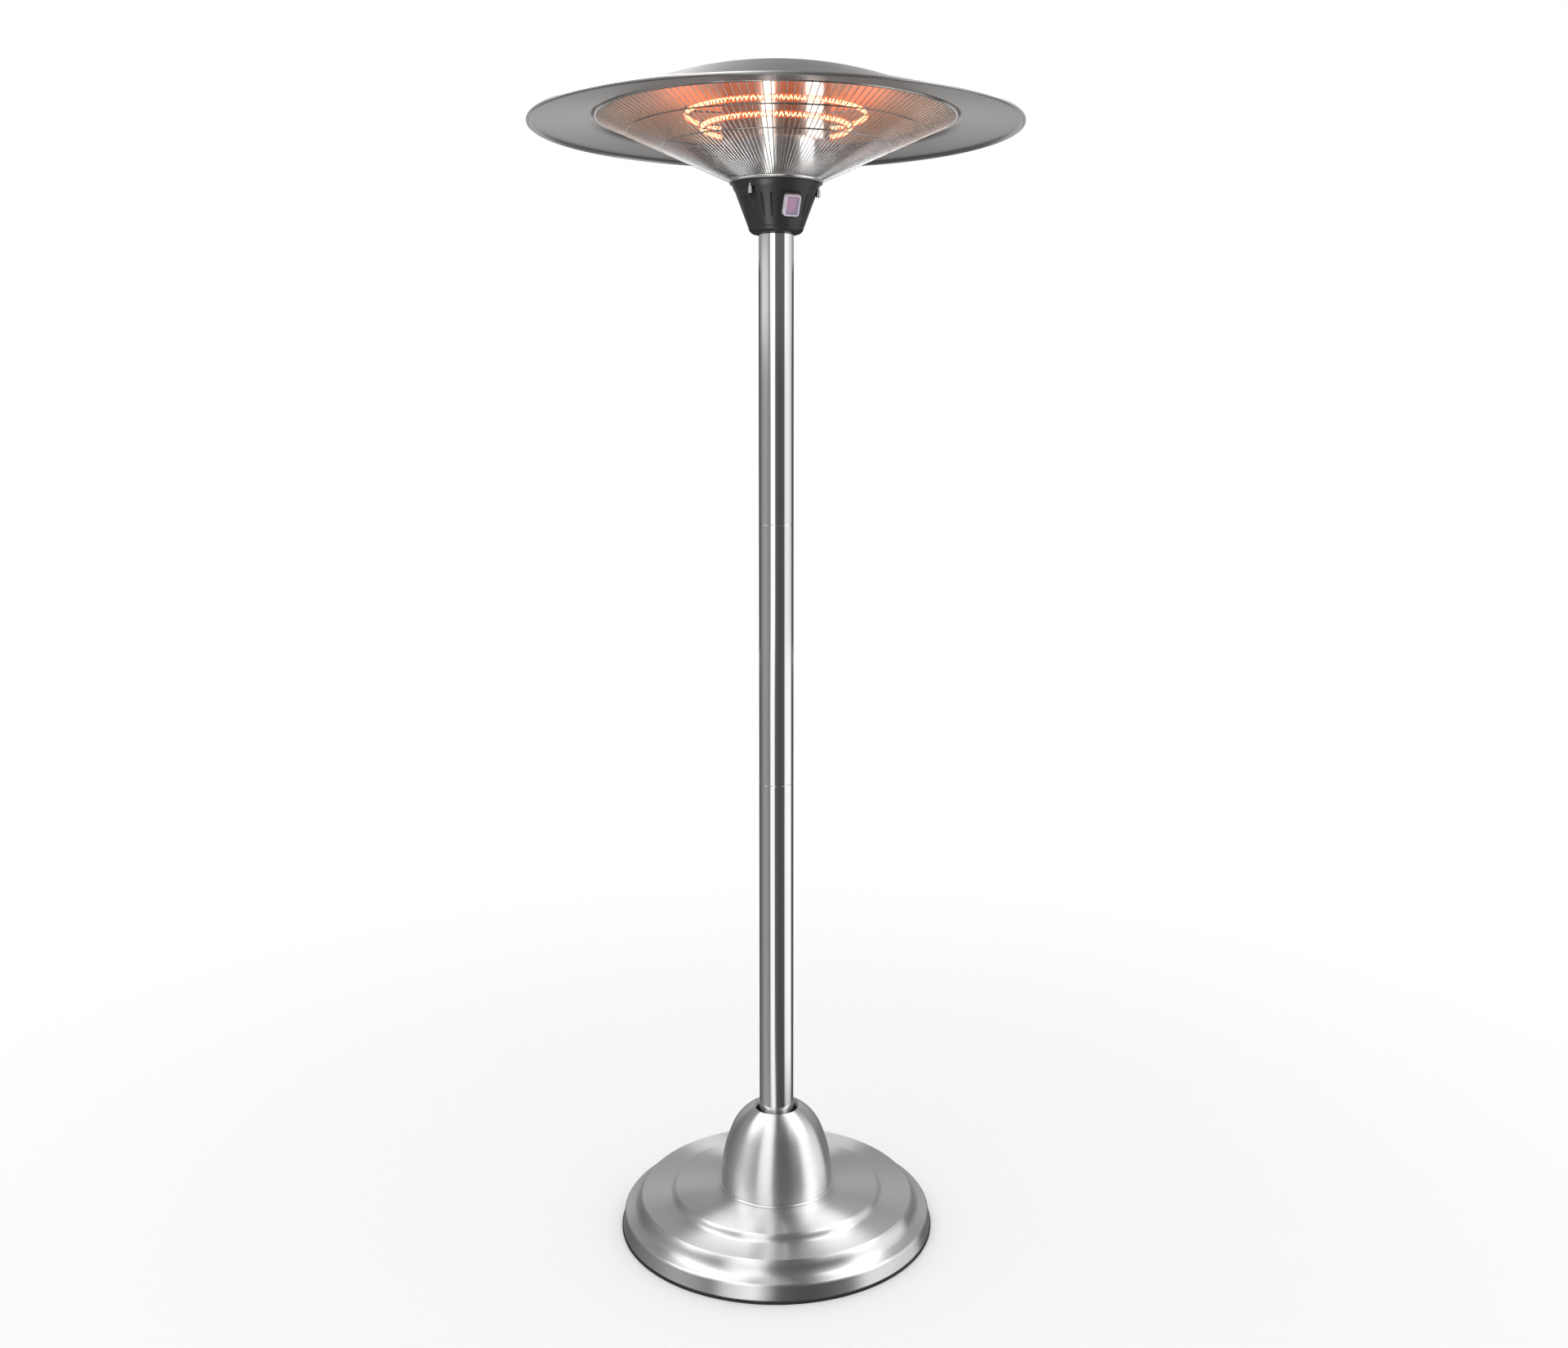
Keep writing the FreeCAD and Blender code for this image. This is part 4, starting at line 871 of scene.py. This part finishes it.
# %% Bend the tubes and wind the coils
TUBE_RADIUS, HALF_GAP, COIL_SETBACK = 5.0 * MM, math.radians(17.0), math.radians(3.0)
TUBE_POINTS, TUBE_SIDES, COIL_SIDES, POINTS_PER_TURN = 160, 20, 5, 12
COIL_RADIUS, COIL_WIRE, BEAD_PITCH = 2.6 * MM, 0.95 * MM, 7.4 * MM
for lamp in ("upper", "lower"):
    node = lamp + "_lamp"
    ring = reach(node) - TUBE_RADIUS
    turns = round(ring * (TURN - 2 * HALF_GAP) / BEAD_PITCH)
    place = {"Ring Radius": ring, "Level": middle(node)}
    tube = grown(lamp + "_tube", coil_tree, **place, **{
        "Half Gap": HALF_GAP, "Turns": 0.0, "Points": TUBE_POINTS, "Coil Radius": 0.0,
        "Wire Radius": TUBE_RADIUS, "Sides": TUBE_SIDES})
    coil = grown(lamp + "_coil", coil_tree, **place, **{
        "Half Gap": HALF_GAP + COIL_SETBACK, "Turns": float(turns), "Points": turns * POINTS_PER_TURN,
        "Coil Radius": COIL_RADIUS, "Wire Radius": COIL_WIRE, "Sides": COIL_SIDES})
    tube_piece = set_down(lamp + "_quartz_tube", tube, "quartz", node)
    coil_piece = set_down(lamp + "_coil", coil, "glowing_filament", lamp + "_filament")
    tube_piece.visible_glossy = coil_piece.visible_glossy = False
    print(lamp, "lamp: ring", round(ring, 4), "turns", turns)

# %% [markdown]
# ## Screws
#
# Three bright sleeve screws hold the housing under the plate, and three domed screws hold
# the hat. Each is turned once, and a small tree sets copies of it on a circle.

# %% Domed screws on the hat
copy_tree, given = node_tree("copies_on_circle", {
    "Geometry": None, "Count": 3, "Circle": 0.05, "First Angle": 0.0})
off_axis = Signal.of(copy_tree, "ShaderNodeCombineXYZ", {}, {"X": given["Circle"]})
set_out = Signal.of(copy_tree, "GeometryNodeTransform", {},
                    {"Geometry": given["Geometry"], "Translation": off_axis})
close_tree(copy_tree, about_axis(copy_tree, set_out, given["Count"], given["First Angle"]))


def screws_on_circle(name, outline, node, count, circle, first_angle):
    """One turned screw, copied around a circle."""
    screws = grown(name, copy_tree, turned_mesh(name + "_one", outline, 32),
                   **{"Count": count, "First Angle": first_angle, "Circle": circle})
    set_down(name, screws, "chromed_screw", node)


HEAD_RADIUS, SHANK_RADIUS, RECESS, RECESS_DEPTH = 6.0 * MM, 2.4 * MM, 1.4 * MM, 1.4 * MM
HAT_SCREWS, HAT_SCREW_CIRCLE, HAT_SCREW_ANGLE = 3, 57.0 * MM, math.radians(-37.0 - 90.0)
screw_top, screw_low = high("shade_screws"), low("shade_screws")
head_low = screw_top - 3.2 * MM
dome = bow((HEAD_RADIUS, head_low + 0.4 * MM), (1.6 * MM, screw_top), 7.0 * MM, 8)
screw_line = ([(0.0, screw_low), (SHANK_RADIUS, screw_low), (SHANK_RADIUS, head_low), (HEAD_RADIUS, head_low)]
              + dome + [(RECESS, screw_top - RECESS_DEPTH), (0.0, screw_top - RECESS_DEPTH)])
screws_on_circle("hat_screws", screw_line, "shade_screws", HAT_SCREWS, HAT_SCREW_CIRCLE, HAT_SCREW_ANGLE)

# %% Sleeve screws under the plate
SLEEVE_RADIUS, SLEEVE_HOLE, SLEEVE_SHANK, SLEEVE_EDGE = 3.7 * MM, 1.8 * MM, 2.0 * MM, 0.4 * MM
sleeve_low, sleeve_high = low("housing_screws"), high("housing_screws")
hole_top, sleeve_body = sleeve_low + 5.0 * MM, sleeve_low + 12.0 * MM
sleeve_line = softened([
    (0.0, hole_top), (SLEEVE_HOLE, hole_top), (SLEEVE_HOLE, sleeve_low), (SLEEVE_RADIUS, sleeve_low),
    (SLEEVE_RADIUS, sleeve_body), (SLEEVE_SHANK, sleeve_body), (SLEEVE_SHANK, sleeve_high),
    (0.0, sleeve_high)], SLEEVE_EDGE)
screws_on_circle("sleeve_screws", sleeve_line, "housing_screws", SLEEVES, SLEEVE_CIRCLE,
                 SWITCH_ANGLE + TURN / (2 * SLEEVES))

# %% [markdown]
# ## Pieces kept from the CAD
#
# Inner pieces such as bolts, sleeves, the ballast and the electrics stay as the CAD made
# them. They take the finish of their material slot, so the part looks right when the bell
# is lifted.

# %% Dress the remaining nodes
kept = {"black_rubber": ["foot_pads"], "ballast_stone": ["ballast_disc"], "chromed_screw": ["pole_screws"],
        "zinc_steel": ["pole_flange", "flange_bolts", "flange_washers", "lower_coupler", "upper_coupler",
                       "head_socket", "rocker_pin", "drum_lid", "tie_rods", "shade_spacers"],
        "switch_black": ["switch_frame", "tilt_switch"], "rocker_red": ["rocker"],
        "terminal_white": ["terminal_block"], "chromed_wire": ["lamp_clips"],
        "lamp_ceramic": ["upper_lamp_holders", "lower_lamp_holders"]}
for finish, nodes in kept.items():
    for node in nodes:
        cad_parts[node].data.materials.clear()
        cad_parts[node].data.materials.append(finishes[finish])
print("kept nodes:", sum(kept.values(), []))

# %% [markdown]
# ## Studio and camera
#
# Polished metal shows the room more than itself. A pale floor and a white background keep
# the picture plain, and tall cards around the heater, seen only in reflections, draw the
# dark and light stripes down the pole as a photographer's screens would.

# %% Floor and background
def stage_piece(name, mesh):
    piece = bpy.data.objects.new(name, mesh)
    bpy.context.scene.collection.objects.link(piece)
    return piece


FLOOR_RADIUS, FLOOR_CLEAR, FLOOR_CORNERS = 2.2, 0.7, 96
STUDIO_LIGHT, WHITE = 1.0, (1.0, 1.0, 1.0, 1.0)
floor_turns = [TURN * i / FLOOR_CORNERS for i in range(FLOOR_CORNERS)]
floor_mesh = bpy.data.meshes.new("studio_floor")
floor_mesh.from_pydata([(FLOOR_RADIUS * math.cos(turn), FLOOR_RADIUS * math.sin(turn), 0.0)
                        for turn in floor_turns], [], [list(range(FLOOR_CORNERS))])
tree, surface = new_finish("studio_floor", Roughness=0.9, Base_Color=(0.93, 0.93, 0.93, 1.0))
distance = Signal.of(tree, "ShaderNodeVectorMath", {"operation": "LENGTH"}, {0: place_on(tree)},
                     output="Value")
spread(distance, 1.0, 0.0, FLOOR_CLEAR, FLOOR_RADIUS * 0.95, "SMOOTHSTEP").into(surface, "Alpha")
floor_mesh.materials.append(finishes["studio_floor"])
stage_piece("studio_floor", floor_mesh).visible_glossy = False

world = bpy.data.worlds.new("white_studio")
bpy.context.scene.world = world
world.use_nodes = True
world_tree = world.node_tree
world_tree.nodes.clear()
background = Signal.of(world_tree, "ShaderNodeBackground", {},
                       {"Color": WHITE, "Strength": STUDIO_LIGHT})
background.into(world_tree.nodes.new("ShaderNodeOutputWorld"), "Surface")
print("floor radius:", FLOOR_RADIUS, "studio light:", STUDIO_LIGHT)

# %% Screens for the reflections
SCREEN_RADIUS = 3.4
POLE_STRIPES = (
    (-180, 0.10), (-135, 0.10), (-112, 0.21), (-82, 0.36), (-57, 0.30), (-43, 0.20), (-37, 1.15), (-14, 1.15),
    (-9, 0.12), (25, 0.08), (53, 0.10), (63, 1.15), (113, 1.15), (120, 0.10), (180, 0.10))
LIP_STRIPES = (
    (-180, 0.06), (-100, 0.03), (-45, 0.03), (-30, 0.22), (-20, 1.10), (-6, 1.10), (-1, 0.10), (35, 0.02),
    (60, 0.04), (80, 0.12), (110, 0.14), (135, 0.06), (180, 0.06))
FOOT_STRIPES = (
    (-180, 0.12), (-125, 0.14), (-100, 0.28), (-80, 0.44), (-60, 0.42), (-36, 0.38), (-29, 1.10), (-5, 1.10),
    (0, 0.12), (28, 0.07), (52, 0.08), (70, 0.42), (85, 0.60), (100, 0.45), (112, 0.14), (135, 0.12),
    (180, 0.12))
BACK_STRIPES = (
    (-180, 0.58), (-150, 0.60), (-130, 0.16), (-82, 0.38), (-57, 0.32), (-39, 0.22), (-33, 1.25), (-10, 1.25),
    (-5, 0.12), (25, 0.08), (53, 0.10), (63, 1.0), (106, 0.9), (118, 0.26), (134, 0.50), (180, 0.56))
HIGH_RIGHT = ((-43, 0.28), (-33, 1.6), (-10, 1.6), (-5, 0.14), (53, 0.14), (63, 1.3), (100, 0.9), (134, 0.36),
              (180, 0.36))
POLE_TOP_STRIPES = (
    (-180, 0.36), (-130, 0.30), (-112, 0.45), (-95, 0.85), (-60, 0.85), (-47, 0.36)) + HIGH_RIGHT
HIGH_STRIPES = ((-180, 0.36), (-150, 0.36), (-130, 0.30)) + HIGH_RIGHT
CEILING_STRIPES = (
    (-180, 0.20), (-43, 0.26), (-37, 0.9), (-14, 0.9), (-9, 0.16), (53, 0.18), (63, 0.60), (110, 0.40),
    (132, 0.20), (180, 0.20))
WALL_LEVELS = ((-4.0, LIP_STRIPES), (-1.6, LIP_STRIPES), (-1.5, FOOT_STRIPES), (-1.3, FOOT_STRIPES),
               (-1.2, POLE_STRIPES), (0.40, POLE_STRIPES), (0.55, BACK_STRIPES), (1.6, BACK_STRIPES),
               (1.72, POLE_TOP_STRIPES), (2.0, POLE_TOP_STRIPES), (2.1, HIGH_STRIPES), (2.9, HIGH_STRIPES),
               (3.2, CEILING_STRIPES), (4.0, CEILING_STRIPES))


def emitter(name, strength, one_sided=False, attribute=None):
    """A plain glow, coloured by an attribute if there is one; a one-sided card is clear from behind."""
    material = bpy.data.materials.new(name)
    material.use_nodes = True
    tree = material.node_tree
    tree.nodes.clear()
    colour = WHITE
    if attribute:
        colour = Signal.of(tree, "ShaderNodeAttribute", {"attribute_name": attribute}, output="Color")
    glow = Signal.of(tree, "ShaderNodeEmission", {}, {"Color": colour, "Strength": strength})
    if one_sided:
        behind = Signal.of(tree, "ShaderNodeNewGeometry", output="Backfacing")
        clear = Signal.of(tree, "ShaderNodeBsdfTransparent")
        glow = Signal.of(tree, "ShaderNodeMixShader", {}, {0: behind, 1: glow, 2: clear})
    glow.into(tree.nodes.new("ShaderNodeOutputMaterial"), "Surface")
    return material


def mirrored_piece(name, mesh, material):
    """A card or screen of the studio that shows only in reflections."""
    mesh.materials.append(material)
    piece = stage_piece(name, mesh)
    piece.visible_camera = piece.visible_diffuse = piece.visible_shadow = piece.visible_transmission = False
    return piece


def screen(name, rows):
    """A wall around the heater; each row has a radius, a level and stripes, read between their stops."""
    angles = list(range(-180, 181))
    points, levels, faces = [], [], []
    for radius, height, stripes in rows:
        for angle in angles:
            around = math.radians(angle - 90.0)
            points.append((radius * math.cos(around), radius * math.sin(around), height))
        levels += list(numpy.interp(angles, *zip(*stripes)))
    count = len(angles)
    for row in range(len(rows) - 1):
        for corner in range(row * count, row * count + count - 1):
            faces.append([corner, corner + 1, corner + count + 1, corner + count])
    mesh = bpy.data.meshes.new(name)
    mesh.from_pydata(points, [], faces)
    brightness = mesh.color_attributes.new("level", "FLOAT_COLOR", "POINT")
    for entry, level in zip(brightness.data, levels):
        entry.color = (*grey(level), 1.0)
    mirrored_piece(name, mesh, emitter(name, 1.0, attribute="level"))
    print(name, "rows:", len(rows), "faces:", len(faces))


wall = [(SCREEN_RADIUS, height, stripes) for height, stripes in WALL_LEVELS]
screen("stripe_screen", [(0.4, -4.4, LIP_STRIPES)] + wall + [(0.1, 4.6, CEILING_STRIPES)])

# %% [markdown]
# A card behind the pole darkens its edges, and soft boxes overhead draw bright fans on the
# treads. Two cards below the head draw white stripes on the column and the drum. They are
# kept to those two pieces, because they would also sparkle on every wire of the guard.

# %% Cards behind, above and below
def flat_card(name, corners, strength, one_sided=False):
    mesh = bpy.data.meshes.new(name)
    mesh.from_pydata(corners, [], [list(range(len(corners)))])
    print(name, "corners:", len(corners), "strength:", strength)
    return mirrored_piece(name, mesh, emitter(name, strength, one_sided))


def reaches_only(light, *names):
    """Keeps a light or a card to the named pieces."""
    lit = bpy.data.collections.new(light.name + "_pieces")
    for name in names:
        lit.objects.link(bpy.data.objects[name])
    light.light_linking.receiver_collection = lit


flat_card("edge_strip", [(-0.5, 0.35, 0.92), (0.5, 0.35, 0.92), (0.5, 0.35, 1.66), (-0.5, 0.35, 1.66)], 0.08)
BOX_LEVEL = 3.0
for name, left, right, front, back, strength in (("left_box", -3.3, -0.55, -0.5, 0.9, 4.4),
                                                 ("left_front_box", -0.9, -0.12, -1.7, -0.6, 2.4),
                                                 ("right_box", 0.86, 3.8, -0.5, 1.1, 4.2)):
    flat_card(name, [(left, front, BOX_LEVEL), (right, front, BOX_LEVEL), (right, back, BOX_LEVEL),
                     (left, back, BOX_LEVEL)], strength)

CARD_IN, CARD_OUT, ARC_STEPS = 0.72, 1.6, 8
for name, start, end, height, strength in (("left_head_card", -27.0, -5.0, 1.52, 34.0),
                                           ("right_head_card", 66.0, 114.0, 1.62, 30.0)):
    turns = [math.radians(start + (end - start) * i / ARC_STEPS) for i in range(ARC_STEPS + 1)]
    arcs = [(CARD_OUT, turn) for turn in turns] + [(CARD_IN, turn) for turn in turns[::-1]]
    corners = [(radius * math.sin(turn), -radius * math.cos(turn), height) for radius, turn in arcs]
    reaches_only(flat_card(name, corners, strength, one_sided=True), "lamp_column", "lamp_drum")

# %% [markdown]
# One broad soft light stands at the upper left. Small discs give the guard and the cup the
# sheen that they have in a bright room, and a ring of warm discs above the lamps stands for
# the light that the coils throw on the reflector.

# %% Soft lights
def soft_light(name, place, aim, size, energy, shape="DISK", colour=(1.0, 1.0, 1.0)):
    """An area light that faces a point."""
    light = bpy.data.lights.new(name, "AREA")
    light.shape, light.size, light.energy, light.color = shape, size, energy, colour
    holder = bpy.data.objects.new(name, light)
    holder.location = place
    holder.rotation_euler = (Vector(aim) - Vector(place)).to_track_quat("-Z", "Y").to_euler()
    bpy.context.scene.collection.objects.link(holder)
    return holder


key_light = soft_light("soft_key", (-1.8, -2.2, 3.4), (0.0, 0.0, 0.9), 2.6, 8.0, "SQUARE")
key_light.visible_glossy = False
RODS, RING = "guard_rods", "bent_guard_bottom_ring"
for name, place, aim, size, energy, pieces in (
        ("guard_light_left", (-0.72, 0.0, 1.2), (-0.72, 0.0, 2.0), 0.9, 2.8, (RODS, RING)),
        ("guard_light_right", (0.72, 0.0, 1.2), (0.72, 0.0, 2.0), 0.9, 4.0, (RODS, RING)),
        ("ring_light", (0.0, -1.0, 1.2), (0.0, 0.0, 1.6), 0.8, 3.0, (RING,)),
        ("cup_light", (-0.54, -0.81, 0.85), (0.0, 0.0, 1.55), 0.4, 3.4, ("switch_cup",))):
    disc = soft_light(name, place, aim, size, energy)
    disc.visible_camera = False
    reaches_only(disc, *pieces)

LAMP_LIGHTS, LAMP_RISE, LAMP_GAP, LAMP_ORANGE = 20, 1.5, 6.0 * MM, (1.0, 0.20, 0.045)
LAMP_SIZE, LAMP_ENERGY = 0.03, 0.020
lamp_ring, above_lamp = reach("upper_lamp") - TUBE_RADIUS, high("upper_lamp") + LAMP_GAP
for number in range(LAMP_LIGHTS):
    angle = TURN * (number + 0.5) / LAMP_LIGHTS
    place = Vector((lamp_ring * math.cos(angle), lamp_ring * math.sin(angle), above_lamp))
    aim = place + Vector((math.cos(angle), math.sin(angle), LAMP_RISE))
    warm_light = soft_light("lamp_warmth", place, aim, LAMP_SIZE, LAMP_ENERGY, colour=LAMP_ORANGE)
    warm_light.visible_camera = warm_light.visible_glossy = False
print("lights:", len(bpy.data.lights))

# %% The camera
camera = bpy.data.cameras.new("camera")
camera.sensor_width, camera.lens = 36.0, 35.505
camera.shift_y = -0.0809
camera_stand = bpy.data.objects.new("camera", camera)
camera_stand.location = (0.0128, -2.554, 1.3658)
camera_stand.rotation_euler = (math.radians(85.3), 0.0, 0.0)
bpy.context.scene.collection.objects.link(camera_stand)
bpy.context.scene.camera = camera_stand
bpy.context.scene.view_settings.view_transform = "Standard"
print("camera at", tuple(camera_stand.location), "lens", camera.lens)

# %% [markdown]
